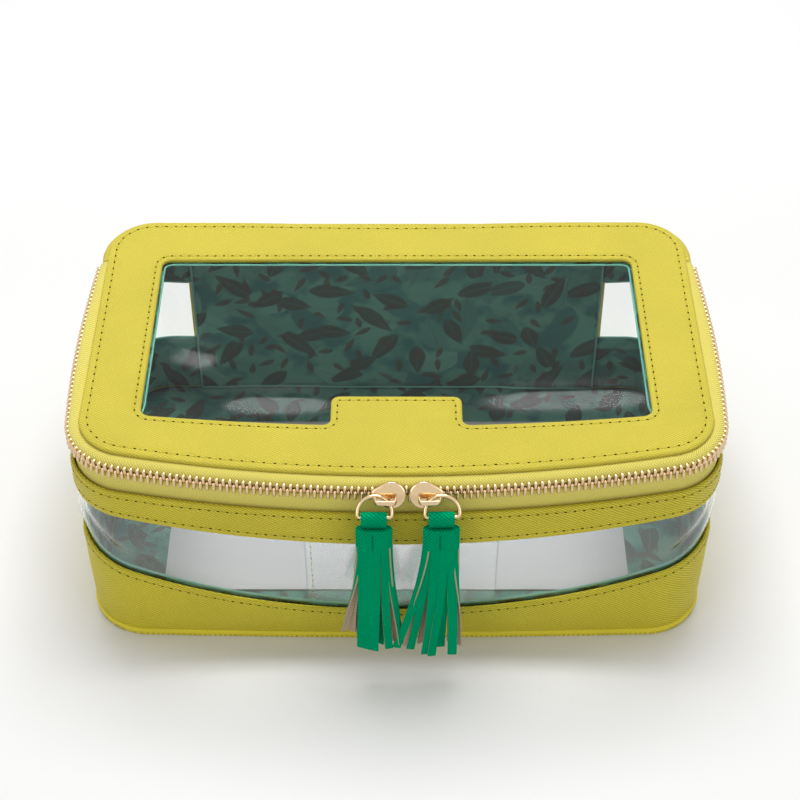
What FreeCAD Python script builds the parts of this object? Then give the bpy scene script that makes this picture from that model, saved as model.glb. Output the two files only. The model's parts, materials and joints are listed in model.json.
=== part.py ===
"""Game tile bag: a clear-sided zip case with a hinged window lid, two sliders and two tassels.

Millimetres, +Z up, front towards -Y. The origin is the centre of the base's underside.
"""
import FreeCAD, Part
import math
import os
import re

import Sketcher

Vector = FreeCAD.Vector
X_AXIS = Vector(1, 0, 0)
Y_AXIS = Vector(0, 1, 0)
Z_AXIS = Vector(0, 0, 1)

SIZES = (
    # Lid
    ("lid_half_width", "130"),
    ("lid_back", "77.5"),
    ("lid_front", "85"),
    ("lid_bow", "16"),
    ("lid_corner_front", "22"),
    ("lid_corner_back", "20"),
    ("lid_top", "105.5"),
    ("lid_thickness", "1.8"),
    ("lid_rim_side", "25"),
    ("lid_rim_back", "27.5"),
    ("lid_rim_front", "33"),
    ("window_corner", "4"),
    ("window_overlap", "6"),
    ("window_sheet", "0.6"),
    ("tab_half_width", "27"),
    ("tab_depth", "17"),
    ("tab_corner", "4"),
    ("lid_lining_margin", "8"),
    ("lid_lining_lip", "1.2"),
    # Base and walls
    ("base_tuck_side", "2.4"),
    ("base_tuck_front", "9.4"),
    ("base_bow", "2.5"),
    ("knee_drop", "3.3"),
    ("leather", "1.4"),
    ("clear_sheet", "0.7"),
    ("lining", "0.6"),
    ("board", "1.8"),
    ("layer_gap", "0.1"),
    ("cut_margin", "10"),
    ("welt_height", "2.2"),
    ("welt_lip", "0.8"),
    ("lower_band_top", "21"),
    ("lower_band_rise", "24"),
    ("lining_reveal", "1.5"),
    ("upper_band_height", "18"),
    ("upper_band_rise", "4.5"),
    ("back_panel_half", "97"),
    ("back_overlap", "8"),
    ("pocket_left", "37"),
    ("pocket_right", "41"),
    ("pocket_lift", "6"),
    # Loose sheet on the floor inside
    ("insert_margin_side", "29.5"),
    ("insert_margin_front", "23.5"),
    ("insert_margin_back", "29.5"),
    ("insert_corner", "3"),
    ("insert_sheet", "0.6"),
    # Zip
    ("zip_flare", "3.5"),
    ("flare_height", "2.2"),
    ("tape_show", "10.9"),
    ("band_step", "1.9"),
    ("tape", "0.7"),
    ("tape_flare_width", "1.4"),
    ("tape_tuck", "8"),
    ("zip_slit", "2"),
    ("zip_end_margin", "23.5"),
    ("tooth_pitch", "2.7"),
    ("tooth_width", "1.5"),
    ("tooth_depth", "2.2"),
    ("tooth_height", "2.3"),
    ("stop_length", "3"),
    # Hinge at the back
    ("hinge_gap", "0.3"),
    ("hinge_step", "2"),
    ("hinge_overhang", "11"),
    ("hinge_strip_height", "12"),
    ("hinge_strip_thickness", "1.2"),
    # Sliders, rings and tassels
    ("meeting_x", "4.4"),
    ("slider_offset", "8.7"),
    ("slider_nose", "5.8"),
    ("slider_tail", "3.4"),
    ("slider_centres", "4.6"),
    ("slider_plate", "1.1"),
    ("slider_clearance", "0.4"),
    ("slider_back_rise", "2.4"),
    ("post_width", "1.6"),
    ("post_clearance", "0.3"),
    ("bail_span", "9"),
    ("bail_bar", "1"),
    ("ring_wire", "1.6"),
    ("ring_half_width", "6.85"),
    ("ring_side", "0.5"),
    ("ring_corner", "1.3"),
    ("ring_offset", "4.6"),
    ("ring_slack", "1.1"),
    ("ring_reach", "1.95"),
    ("ring_tilt", "34"),
    ("eye_clearance", "0.3"),
    ("strap_width", "10.4"),
    ("strap_leather", "1.1"),
    ("strap_length", "2.6"),
    ("head_half_width", "7.4"),
    ("head_half_depth", "4.2"),
    ("head_length", "12"),
    ("fringe_half_width", "10.5"),
    ("fringe_half_depth", "5.6"),
    ("tassel_clearance", "11"),
    # Worked out from the sizes above
    ("lid_radius", "=(lid_half_width^2 + lid_bow^2) / (2 * lid_bow)"),
    ("lid_under", "=lid_top - lid_thickness"),
    ("window_half_width", "=lid_half_width - lid_rim_side"),
    ("window_back", "=lid_back - lid_rim_back"),
    ("window_front", "=lid_front - lid_rim_front"),
    ("body_half_width", "=lid_half_width + zip_flare + band_step"),
    ("body_front", "=lid_front + zip_flare + band_step"),
    ("body_back", "=lid_back + hinge_step"),
    ("body_radius", "=lid_radius + zip_flare + band_step"),
    ("body_corner_front", "=lid_corner_front + zip_flare + band_step"),
    ("body_corner_back", "=lid_corner_back + zip_flare + band_step"),
    ("base_half_width", "=body_half_width - base_tuck_side"),
    ("base_front", "=body_front - base_tuck_front"),
    ("base_back", "=body_back"),
    ("base_corner_front", "=body_corner_front - base_tuck_side"),
    ("base_corner_back", "=body_corner_back - base_tuck_side"),
    ("base_radius", "=(base_half_width^2 + base_bow^2) / (2 * base_bow)"),
    ("flare_bottom", "=lid_under - flare_height"),
    ("chain_height", "=flare_bottom - tooth_height - zip_slit / 2"),
    ("tape_top", "=chain_height - zip_slit / 2 - tooth_height"),
    ("zip_end", "=body_back - zip_end_margin"),
    ("upper_band_top", "=chain_height - tape_show"),
    ("upper_band_bottom", "=upper_band_top - upper_band_height"),
    ("tape_bottom", "=upper_band_top - tape_tuck"),
    ("wall_bottom", "=leather + welt_height"),
    ("wall_knee", "=upper_band_bottom - knee_drop"),
    ("pocket_bottom", "=lower_band_top + pocket_lift"),
    ("clear_inset", "=leather + layer_gap"),
    ("lining_inset", "=clear_inset + clear_sheet + layer_gap"),
    ("inner_inset", "=lining_inset + lining"),
    ("floor_top", "=leather + board + lining + 2 * layer_gap"),
    ("insert_half_width", "=base_half_width - insert_margin_side"),
    ("insert_front", "=base_front - insert_margin_front"),
    ("insert_back", "=base_back - insert_margin_back"),
    ("back_top", "=lid_under - hinge_gap"),
    ("hinge_strip_half", "=back_panel_half + hinge_overhang"),
    ("slider_face", "=tooth_depth / 2 + slider_clearance"),
    ("bail_depth", "=ring_reach + ring_wire / 2 + ring_slack + bail_bar"),
    ("ring_drop", "=sqrt(ring_half_width^2 - ring_offset^2)"),
    ("ring_bar", "=ring_side + ring_corner"),
    ("bar_height", "=chain_height - (ring_drop + ring_bar) * cos(ring_tilt * 1 deg)"),
    ("eye_inner", "=ring_wire / 2 + eye_clearance"),
    ("eye_outer", "=eye_inner + strap_leather"),
    ("head_drop", "=strap_length + eye_outer"),
    ("fringe_length", "=bar_height - head_drop - head_length - tassel_clearance"),
)

doc = FreeCAD.newDocument("GameTileBag")
sheet = doc.addObject("Spreadsheet::Sheet", "Sizes")
ALIASES = set()
for row, (alias, content) in enumerate(SIZES, start=1):
    sheet.set("A%d" % row, alias)
    sheet.set("B%d" % row, content)
    sheet.setAlias("B%d" % row, alias)
    ALIASES.add(alias)
doc.recompute()


def bound(text):
    """Write an expression over the sheet: each alias gets the sheet's name in front."""
    def prefix(match):
        word = match.group()
        return "Sizes." + word if word in ALIASES else word
    return re.sub(r"[a-z_]+", prefix, text)


def value(text):
    """Number that an expression over the sheet comes to now."""
    return float(sheet.evalExpression(bound(text)))


def bind(obj, **expressions):
    """Tie properties of an object to expressions over the sheet."""
    for name, text in expressions.items():
        obj.setExpression(name.replace("__", "."), bound(text))


POINTS = ("edge", "start", "end", "centre")
AXES = ("x_axis", "y_axis")
START, END, CENTRE = POINTS[1:]
ORIGIN = ("x_axis", START)


def number_of(word):
    """Number by which a sketch knows its points and axes; a geometry's own number stays as it is."""
    if word in POINTS:
        return POINTS.index(word)
    return -1 - AXES.index(word) if word in AXES else word


def constrain(sketch, kind, *words, size=None):
    """Add one sketch constraint and, where it has a size, tie it to the sheet."""
    where = [number_of(word) for word in words]
    if size is None:
        sketch.addConstraint(Sketcher.Constraint(kind, *where))
        return
    index = sketch.addConstraint(Sketcher.Constraint(kind, *where, value(size)))
    sketch.setExpression("Constraints[%d]" % index, bound(size))




def arc(centre, radius, first, last):
    """Arc of a circle in a sketch, counter-clockwise between two angles in degrees."""
    circle = Part.Circle(Vector(*centre, 0), Z_AXIS, radius)
    return Part.ArcOfCircle(circle, math.radians(first), math.radians(last))


def segment(first, last):
    return Part.LineSegment(Vector(*first, 0), Vector(*last, 0))


def draw_outline(sketch, level, inset):
    """Plan outline of one level: straight back and sides, bowed front, four round corners."""
    half = f"{level}_half_width - ({inset})"
    back = f"{level}_back - ({inset})"
    front = f"{level}_front - ({inset})"
    radius = f"{level}_radius - ({inset})"
    corner_front = f"{level}_corner_front - ({inset})"
    corner_back = f"{level}_corner_back - ({inset})"
    hw, yb, yf = value(half), value(back), value(front)
    rr, cf, cb = value(radius), value(corner_front), value(corner_back)
    centre_y = rr - yf
    corner_y = centre_y - math.sqrt((rr - cf) ** 2 - (hw - cf) ** 2)
    lean = math.degrees(math.atan2(hw - cf, centre_y - corner_y))
    sketch.addGeometry([
        segment((cb - hw, yb), (hw - cb, yb)),
        arc((hw - cb, yb - cb), cb, 0, 90),
        segment((hw, yb - cb), (hw, corner_y)),
        arc((hw - cf, corner_y), cf, lean - 90, 0),
        arc((0, centre_y), rr, -90 - lean, lean - 90),
        arc((cf - hw, corner_y), cf, 180, 270 - lean),
        segment((-hw, corner_y), (-hw, yb - cb)),
        arc((cb - hw, yb - cb), cb, 90, 180),
    ], False)
    joints = ((0, END, 1, END), (1, START, 2, START), (2, END, 3, END), (3, START, 4, END),
              (4, START, 5, END), (5, START, 6, START), (6, END, 7, END), (7, START, 0, START))
    for joint in joints:
        constrain(sketch, "Tangent", *joint)
    constrain(sketch, "Horizontal", 0)
    constrain(sketch, "Vertical", 2)
    constrain(sketch, "Vertical", 6)
    constrain(sketch, "PointOnObject", 4, CENTRE, "y_axis")
    constrain(sketch, "Equal", 1, 7)
    constrain(sketch, "Equal", 3, 5)
    constrain(sketch, "Radius", 1, size=corner_back)
    constrain(sketch, "Radius", 3, size=corner_front)
    constrain(sketch, "Radius", 4, size=radius)
    constrain(sketch, "DistanceY", *ORIGIN, 4, CENTRE, size=f"({radius}) - ({front})")
    constrain(sketch, "DistanceY", *ORIGIN, 0, START, size=back)
    constrain(sketch, "DistanceX", *ORIGIN, 2, START, size=half)
    constrain(sketch, "DistanceX", 6, START, *ORIGIN, size=half)


def draw_round_rectangle(sketch, left, right, low, high, corner):
    """Rectangle with round corners between four signed distances from the sketch's origin."""
    x0, x1, y0, y1, r = (value(text) for text in (left, right, low, high, corner))
    sketch.addGeometry([
        segment((x0 + r, y0), (x1 - r, y0)), arc((x1 - r, y0 + r), r, 270, 360),
        segment((x1, y0 + r), (x1, y1 - r)), arc((x1 - r, y1 - r), r, 0, 90),
        segment((x1 - r, y1), (x0 + r, y1)), arc((x0 + r, y1 - r), r, 90, 180),
        segment((x0, y1 - r), (x0, y0 + r)), arc((x0 + r, y0 + r), r, 180, 270),
    ], False)
    for index in range(8):
        constrain(sketch, "Tangent", index, END, (index + 1) % 8, START)
    for index in (0, 4):
        constrain(sketch, "Horizontal", index)
    for index in (2, 6):
        constrain(sketch, "Vertical", index)
    for index in (3, 5, 7):
        constrain(sketch, "Equal", 1, index)
    constrain(sketch, "Radius", 1, size=corner)
    constrain(sketch, "DistanceX", *ORIGIN, 2, START, size=right)
    constrain(sketch, "DistanceX", *ORIGIN, 6, START, size=left)
    constrain(sketch, "DistanceY", *ORIGIN, 0, START, size=low)
    constrain(sketch, "DistanceY", *ORIGIN, 4, START, size=high)


def draw_swoop(sketch, flat, middle, ends):
    """Front view of a band: one flat edge and one edge that is an arc, higher at its ends."""
    half = "body_half_width + welt_lip"
    rise = f"(({ends}) - ({middle}))"
    radius = f"(({half})^2 + {rise}^2) / (2 * {rise})"
    hw, z_flat, z_mid, z_end, rr = (value(text) for text in (half, flat, middle, ends, radius))
    spread = math.degrees(math.asin(hw / rr))
    sketch.addGeometry([
        segment((-hw, z_flat), (hw, z_flat)),
        segment((hw, z_flat), (hw, z_end)),
        arc((0, z_mid + rr), rr, -90 - spread, spread - 90),
        segment((-hw, z_end), (-hw, z_flat)),
    ], False)
    for joint in ((0, END, 1, START), (1, END, 2, END), (2, START, 3, START), (3, END, 0, START)):
        constrain(sketch, "Coincident", *joint)
    constrain(sketch, "Horizontal", 0)
    constrain(sketch, "Vertical", 1)
    constrain(sketch, "Vertical", 3)
    constrain(sketch, "Radius", 2, size=radius)
    constrain(sketch, "DistanceX", *ORIGIN, 1, START, size=half)
    constrain(sketch, "DistanceX", 3, START, *ORIGIN, size=half)
    constrain(sketch, "DistanceY", *ORIGIN, 0, START, size=flat)
    constrain(sketch, "DistanceY", *ORIGIN, 1, END, size=ends)
    constrain(sketch, "DistanceY", *ORIGIN, 3, START, size=ends)


def outline(name, level, inset, height):
    """Loose sketch of a plan outline at one height."""
    sketch = doc.addObject("Sketcher::SketchObject", name)
    draw_outline(sketch, level, inset)
    sketch.Placement.Base = Vector(0, 0, value(height))
    bind(sketch, Placement__Base__z=height)
    return sketch


def loft(name, sections):
    """Ruled solid through outlines, each a level, an inset and a height."""
    solid = doc.addObject("Part::Loft", name)
    solid.Sections = [outline(f"{name}_{i}", *section) for i, section in enumerate(sections)]
    solid.Solid = True
    solid.Ruled = True
    return solid


WALL_SOLIDS = {}


def wall_solid(inset):
    """Whole body out to one layer: it leans up to the knee and stands upright above it."""
    if inset not in WALL_SOLIDS:
        name = "Wall_%d" % len(WALL_SOLIDS)
        WALL_SOLIDS[inset] = loft(name, (("base", inset, "0"), ("body", inset, "wall_knee"),
                                         ("body", inset, "lid_top")))
    return WALL_SOLIDS[inset]


def boolean(kind, name, base, tool):
    obj = doc.addObject("Part::" + kind, name)
    obj.Base = base
    obj.Tool = tool
    return obj


def box(name, x, y, z):
    """Box between pairs of expressions along each axis."""
    obj = doc.addObject("Part::Box", name)
    bind(obj, Length=f"({x[1]}) - ({x[0]})", Width=f"({y[1]}) - ({y[0]})", Height=f"({z[1]}) - ({z[0]})",
         Placement__Base__x=x[0], Placement__Base__y=y[0], Placement__Base__z=z[0])
    return obj


ALL_WIDTH = ("-body_half_width - cut_margin", "body_half_width + cut_margin")
ALL_DEPTH = ("-body_front - cut_margin", "body_back + cut_margin")


def shell(name, outer, inner):
    """Wall layer between two insets, over the full height."""
    return boolean("Cut", name, wall_solid(outer), wall_solid(inner))


def between(name, solid, low, high):
    """Part of a solid between two heights."""
    return boolean("Common", name, solid, box(name + "_levels", ALL_WIDTH, ALL_DEPTH, (low, high)))


def swooped(name, solid, flat, middle, ends):
    """Part of a solid inside a band's front view."""
    sketch = doc.addObject("Sketcher::SketchObject", name + "_view")
    draw_swoop(sketch, flat, middle, ends)
    sketch.Placement = FreeCAD.Placement(Vector(), FreeCAD.Rotation(X_AXIS, 90))
    slab = doc.addObject("Part::Extrusion", name + "_slab")
    slab.Base = sketch
    slab.DirMode = "Custom"
    slab.Dir = Y_AXIS
    slab.Solid = True
    bind(slab, LengthFwd="body_back + cut_margin", LengthRev="body_front + cut_margin")
    return boolean("Common", name, solid, slab)


def open_back(name, solid, half):
    """Take away the middle of the back, where the back panel stands."""
    gap = box(name + "_back", (f"-({half})", half), ("body_back / 2", "body_back + cut_margin"),
              ("-cut_margin", "lid_top + cut_margin"))
    return boolean("Cut", name, solid, gap)


def body_sketch(body, name, plane, offset):
    """Sketch on one of a body's own origin planes, moved along that plane's normal."""
    sketch = body.newObject("Sketcher::SketchObject", name)
    origin_plane = [o for o in body.Origin.OriginFeatures if o.Role == plane][0]
    sketch.AttachmentSupport = [(origin_plane, "")]
    sketch.MapMode = "FlatFace"
    bind(sketch, AttachmentOffset__Base__z=offset)
    return sketch


def pad(body, name, sketch, length):
    feature = body.newObject("PartDesign::Pad", name)
    feature.Profile = sketch
    bind(feature, Length=length)
    return feature


def plate(name, level, inset, low, thickness):
    """Flat panel with a level's outline."""
    body = doc.addObject("PartDesign::Body", name)
    sketch = body_sketch(body, name + "_outline", "XY_Plane", low)
    draw_outline(sketch, level, inset)
    pad(body, name + "_pad", sketch, thickness)
    return body


def cut_window(body, name, low, thickness, margin):
    """Pocket the window opening, less a margin, out of a flat panel."""
    sketch = body_sketch(body, name + "_window", "XY_Plane", low)
    draw_round_rectangle(sketch, f"-window_half_width + {margin}", f"window_half_width - {margin}",
                         f"-window_front + {margin}", f"window_back - {margin}", "window_corner")
    pocket = body.newObject("PartDesign::Pocket", name + "_pocket")
    pocket.Profile = sketch
    pocket.Reversed = True
    bind(pocket, Length=thickness)


PIECES = {}


def piece(name, obj):
    """Keep an object as a named sub-part."""
    obj.Label = name
    PIECES[name] = obj


def make_base():
    piece("base_panel", plate("BasePanel", "base", "0", "0", "leather"))
    piece("base_stiffener", plate("BaseBoard", "base", "inner_inset + layer_gap", "leather", "board"))
    piece("base_lining", plate("BaseLining", "base", "inner_inset + layer_gap",
                               "leather + board + layer_gap", "lining"))
    insert = doc.addObject("PartDesign::Body", "FloorInsert")
    sketch = body_sketch(insert, "FloorInsert_outline", "XY_Plane", "floor_top")
    draw_round_rectangle(sketch, "-insert_half_width", "insert_half_width", "-insert_front", "insert_back",
                         "insert_corner")
    pad(insert, "FloorInsert_pad", sketch, "insert_sheet")
    piece("floor_insert", insert)
    outer = loft("WeltOuter", (("base", "-welt_lip", "leather"), ("base", "-welt_lip", "wall_bottom")))
    inner = loft("WeltInner", (("base", "leather", "leather"), ("base", "leather", "wall_bottom")))
    piece("base_welt", boolean("Cut", "Welt", outer, inner))


def make_walls():
    lower_ends = "lower_band_top + lower_band_rise"
    upper_ends = "upper_band_bottom + upper_band_rise"
    leather = shell("LeatherLayer", "0", "leather")
    lining = shell("LiningLayer", "lining_inset", "inner_inset")
    clear = shell("ClearLayer", "clear_inset", "clear_inset + clear_sheet")

    lower = swooped("LowerBand", leather, "wall_bottom", "lower_band_top", lower_ends)
    piece("lower_band", open_back("LowerBandOpen", lower, "back_panel_half"))
    lower = swooped("LowerLining", lining, "wall_bottom", "lower_band_top + lining_reveal",
                    lower_ends + " + lining_reveal")
    piece("lower_band_lining", open_back("LowerLiningOpen", lower, "back_panel_half"))

    upper = swooped("UpperBand", leather, "upper_band_top", "upper_band_bottom", upper_ends)
    piece("upper_band", open_back("UpperBandOpen", upper, "back_panel_half"))
    upper = swooped("UpperLining", lining, "upper_band_top", "upper_band_bottom - lining_reveal",
                    upper_ends + " - lining_reveal")
    piece("upper_band_lining", open_back("UpperLiningOpen", upper, "back_panel_half"))

    wall = between("ClearWall", clear, "wall_bottom", "tape_bottom - layer_gap")
    piece("clear_wall", open_back("ClearWallOpen", wall, "back_panel_half - back_overlap"))
    front = box("PocketArea", ("-pocket_left", "pocket_right"), ("-body_front - cut_margin", "0"),
                ("pocket_bottom", "wall_knee"))
    piece("card_pocket", boolean("Common", "Pocket", lining, front))


def make_back():
    half = ("-back_panel_half", "back_panel_half")
    outer_face = "body_back - leather"
    piece("back_panel", box("BackPanel", half, (outer_face, "body_back"), ("wall_bottom", "back_top")))
    board_half = "back_panel_half - back_overlap - layer_gap"
    board_face = "body_back - clear_inset - board"
    piece("back_stiffener", box("BackBoard", (f"-({board_half})", board_half),
                                (board_face, "body_back - leather"), ("floor_top", "upper_band_top")))
    lining_face = board_face + " - layer_gap"
    piece("back_lining", box("BackLining", half, (lining_face + " - lining", lining_face),
                             ("floor_top", "back_top - lid_thickness")))
    piece("hinge_strip", box("HingeStrip", ("-hinge_strip_half", "hinge_strip_half"),
                             ("body_back", "body_back + hinge_strip_thickness"),
                             ("back_top - hinge_strip_height", "back_top")))


def chain_line():
    """Edges of the zip's path in plan, from the back left corner round the front to the back right."""
    whole = outline("ChainLine", "body", "band_step", "chain_height")
    doc.recompute()
    end_y = value("zip_end")
    keep = Part.makeBox(2 * value("body_half_width"), 2 * value("body_front"), 2,
                        Vector(-value("body_half_width"), end_y - 2 * value("body_front"),
                               value("chain_height") - 1))
    wire = Part.Wire(Part.__sortEdges__(whole.Shape.common(keep).Edges))
    return wire


def along(wire, first, pitch):
    """Places on a path at a steady pitch, each a point and the direction of travel."""
    places = []
    edges = wire.OrderedEdges
    total = sum(edge.Length for edge in edges)
    count = int((total - 2 * first) / pitch)
    spots = [first + pitch * i for i in range(count + 1)]
    passed = 0.0
    for edge, orientation in zip(edges, (e.Orientation for e in edges)):
        for spot in spots:
            if passed <= spot < passed + edge.Length:
                run = spot - passed
                if orientation == "Reversed":
                    run = edge.Length - run
                at = edge.getParameterByLength(run)
                places.append((edge.valueAt(at), edge.tangentAt(at)))
        passed += edge.Length
    return places


def blocks(name, places, length, low, height):
    """Group of small metal blocks set along the zip, one at each place."""
    depth = value("tooth_depth")
    solids = []
    for point, direction in places:
        block = Part.makeBox(length, depth, height, Vector(-length / 2, -depth / 2, 0))
        turn = FreeCAD.Rotation(X_AXIS, direction)
        block.Placement = FreeCAD.Placement(Vector(point.x, point.y, low), turn)
        solids.append(block)
    group = doc.addObject("Part::Feature", name)
    group.Shape = Part.makeCompound(solids)
    return group


def make_zip():
    tape_outer = "band_step - tape / 2"
    tape_inner = "band_step + tape / 2"
    lower = between("LowerTape", shell("TapeLayer", tape_outer, tape_inner), "tape_bottom", "tape_top")
    piece("lower_zip_tape", open_back("LowerTapeOpen", lower, "back_panel_half"))

    outer = loft("FlareOuter", (("body", tape_outer, "flare_bottom"), ("lid", "layer_gap", "lid_under")))
    inner = loft("FlareInner", (("body", tape_outer + " + tape_flare_width", "flare_bottom"),
                                ("lid", "layer_gap + tape_flare_width", "lid_under")))
    flare = boolean("Cut", "Flare", outer, inner)
    ends = box("FlareEnds", ALL_WIDTH, ("zip_end", "body_back + cut_margin"), ("tape_bottom", "lid_top"))
    piece("upper_zip_tape", boolean("Cut", "UpperTape", flare, ends))

    wire = chain_line()
    first = value("stop_length + tooth_pitch")
    places = along(wire, first, value("tooth_pitch"))
    height = value("tooth_height")
    width = value("tooth_width")
    piece("lower_zip_teeth", blocks("LowerTeeth", places, width, value("tape_top"), height))
    piece("upper_zip_teeth", blocks("UpperTeeth", places, width, value("flare_bottom") - height, height))
    stops = along(wire, value("stop_length / 2"), wire.Length - value("stop_length"))
    piece("zip_end_stops", blocks("EndStops", stops, value("stop_length"), value("tape_top"), height))


def make_lid():
    frame = plate("LidFrame", "lid", "0", "lid_under", "lid_thickness")
    cut_window(frame, "LidFrame", "lid_under", "lid_thickness", "0")
    tab = body_sketch(frame, "LidTab", "XY_Plane", "lid_under")
    draw_round_rectangle(tab, "-tab_half_width", "tab_half_width", "-window_front - 2 * tab_corner",
                         "-window_front + tab_depth", "tab_corner")
    pad(frame, "LidTabPad", tab, "lid_thickness")
    piece("lid_frame", frame)

    window = doc.addObject("PartDesign::Body", "LidWindow")
    sketch = body_sketch(window, "LidWindowOutline", "XY_Plane", "lid_under - window_sheet")
    draw_round_rectangle(sketch, "-window_half_width - window_overlap", "window_half_width + window_overlap",
                         "-window_front - window_overlap", "window_back + window_overlap", "window_corner")
    pad(window, "LidWindowPad", sketch, "window_sheet")
    piece("lid_window", window)

    low = "lid_under - window_sheet - lining"
    lining = plate("LidLining", "lid", "lid_lining_margin", low, "lining")
    cut_window(lining, "LidLining", low, "lining", "lid_lining_lip")
    piece("lid_lining", lining)


def slider_place(side):
    """Where a slider stands on the bowed front run of the zip, turned to follow it."""
    radius = value("body_radius - band_step")
    centre_y = value("body_radius - body_front")
    swing = math.asin((value("meeting_x") + side * value("slider_offset")) / radius)
    point = Vector(radius * math.sin(swing), centre_y - radius * math.cos(swing), value("chain_height"))
    return FreeCAD.Placement(point, FreeCAD.Rotation(Z_AXIS, math.degrees(swing)))


def ring_place(side):
    """Where a ring's round top is centred, seen from its slider, with the ring leaning forward."""
    cross = Vector(0, -value("slider_face + slider_plate + ring_reach"), 0)
    lean = FreeCAD.Rotation(X_AXIS, -value("ring_tilt"))
    offset = Vector(side * value("ring_offset"), 0, -value("ring_drop"))
    return FreeCAD.Placement(cross + lean.multVec(offset), lean)


def draw_drop(sketch, side):
    """Slider plate: a round nose towards the middle of the front and a narrower round tail."""
    nose, tail, span = value("slider_nose"), value("slider_tail"), value("slider_centres")
    tilt = math.degrees(math.acos((nose - tail) / span))
    if side < 0:
        nose_arc, tail_arc = (180 + tilt, 540 - tilt), (180 - tilt, 180 + tilt)
    else:
        nose_arc, tail_arc = (tilt, 360 - tilt), (-tilt, tilt)
    nose_x = -side * span / 2

    def spot(centre_x, radius, angle):
        turn = math.radians(angle)
        return (centre_x + radius * math.cos(turn), radius * math.sin(turn))

    sketch.addGeometry([
        arc((nose_x, 0), nose, *nose_arc),
        segment(spot(nose_x, nose, nose_arc[1]), spot(-nose_x, tail, tail_arc[0])),
        arc((-nose_x, 0), tail, *tail_arc),
        segment(spot(-nose_x, tail, tail_arc[1]), spot(nose_x, nose, nose_arc[0])),
    ], False)
    for index in range(4):
        constrain(sketch, "Tangent", index, END, (index + 1) % 4, START)
    for index in (0, 2):
        constrain(sketch, "PointOnObject", index, CENTRE, "x_axis")
    constrain(sketch, "Radius", 0, size="slider_nose")
    constrain(sketch, "Radius", 2, size="slider_tail")
    right, left = (0, 2) if side < 0 else (2, 0)
    constrain(sketch, "DistanceX", *ORIGIN, right, CENTRE, size="slider_centres / 2")
    constrain(sketch, "DistanceX", left, CENTRE, *ORIGIN, size="slider_centres / 2")


def make_slider(name, side):
    """Two plates joined by a post that runs in the slit between the rows of teeth."""
    body = doc.addObject("PartDesign::Body", name + "Slider")
    front = body_sketch(body, name + "SliderFront", "XZ_Plane", "slider_face")
    draw_drop(front, side)
    pad(body, name + "SliderFrontPad", front, "slider_plate")
    post_half = "(zip_slit / 2 - post_clearance)"
    post = body_sketch(body, name + "SliderPost", "XZ_Plane", "-slider_face")
    draw_round_rectangle(post, "-post_width / 2", "post_width / 2", "-" + post_half, post_half, "layer_gap")
    pad(body, name + "SliderPostPad", post, "2 * slider_face + slider_plate / 2")
    back = body_sketch(body, name + "SliderBack", "XZ_Plane", "-slider_face - slider_plate")
    draw_round_rectangle(back, "-slider_nose", "slider_nose", "-slider_nose", "slider_back_rise", "layer_gap")
    pad(body, name + "SliderBackPad", back, "slider_plate")
    body.Placement = slider_place(side)
    return body


def make_bail(name, side):
    """Bridge over the slider's face that the ring hangs in."""
    face = "-slider_face - slider_plate"
    half = "bail_span / 2 + bail_bar"
    arch = box(name + "BailBlock", (f"-({half})", half), (f"{face} - bail_depth", face),
               ("-bail_bar / 2", "bail_bar / 2"))
    hole = box(name + "BailHole", ("-bail_span / 2", "bail_span / 2"),
               (f"{face} - bail_depth + bail_bar", face), ("-bail_bar", "bail_bar"))
    bail = boolean("Cut", name + "Bail", arch, hole)
    bail.Placement = slider_place(side)
    return bail


def make_ring(name, side):
    """D-ring: a round top, short sides and a straight bar, one wire swept round."""
    half, run, corner = value("ring_half_width"), value("ring_side"), value("ring_corner")
    path = doc.addObject("Sketcher::SketchObject", name + "RingPath")
    path.addGeometry([
        arc((0, 0), half, 0, 180),
        segment((-half, 0), (-half, -run)),
        arc((corner - half, -run), corner, 180, 270),
        segment((corner - half, -run - corner), (half - corner, -run - corner)),
        arc((half - corner, -run), corner, 270, 360),
        segment((half, -run), (half, 0)),
    ], False)
    for index in range(6):
        constrain(path, "Tangent", index, END, (index + 1) % 6, START)
    constrain(path, "Coincident", 0, CENTRE, *ORIGIN)
    constrain(path, "Horizontal", 3)
    constrain(path, "Vertical", 1)
    constrain(path, "Vertical", 5)
    constrain(path, "Equal", 2, 4)
    constrain(path, "Radius", 0, size="ring_half_width")
    constrain(path, "Radius", 2, size="ring_corner")
    constrain(path, "DistanceY", 3, START, *ORIGIN, size="ring_bar")
    wire = doc.addObject("Sketcher::SketchObject", name + "RingWire")
    wire.addGeometry(Part.Circle(Vector(), Z_AXIS, value("ring_wire / 2")), False)
    constrain(wire, "Coincident", 0, CENTRE, *ORIGIN)
    constrain(wire, "Radius", 0, size="ring_wire / 2")
    wire.Placement = FreeCAD.Placement(Vector(0, -value("ring_bar"), 0),
                                       FreeCAD.Rotation(Y_AXIS, 90))
    bind(wire, Placement__Base__y="-ring_bar")
    doc.recompute()
    ring = doc.addObject("Part::Sweep", name + "Ring")
    ring.Sections = [wire]
    ring.Spine = (path, ["Edge%d" % (i + 1) for i in range(6)])
    ring.Solid = True
    upright = FreeCAD.Placement(Vector(), FreeCAD.Rotation(X_AXIS, 90))
    ring.Placement = slider_place(side).multiply(ring_place(side)).multiply(upright)
    return ring


def bar_place(side):
    """Middle of a ring's straight bar, where the tassel hangs plumb."""
    bar = Vector(0, 0, -value("ring_bar"))
    place = slider_place(side)
    point = place.multiply(ring_place(side)).multVec(bar)
    return FreeCAD.Placement(point, place.Rotation)


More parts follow.
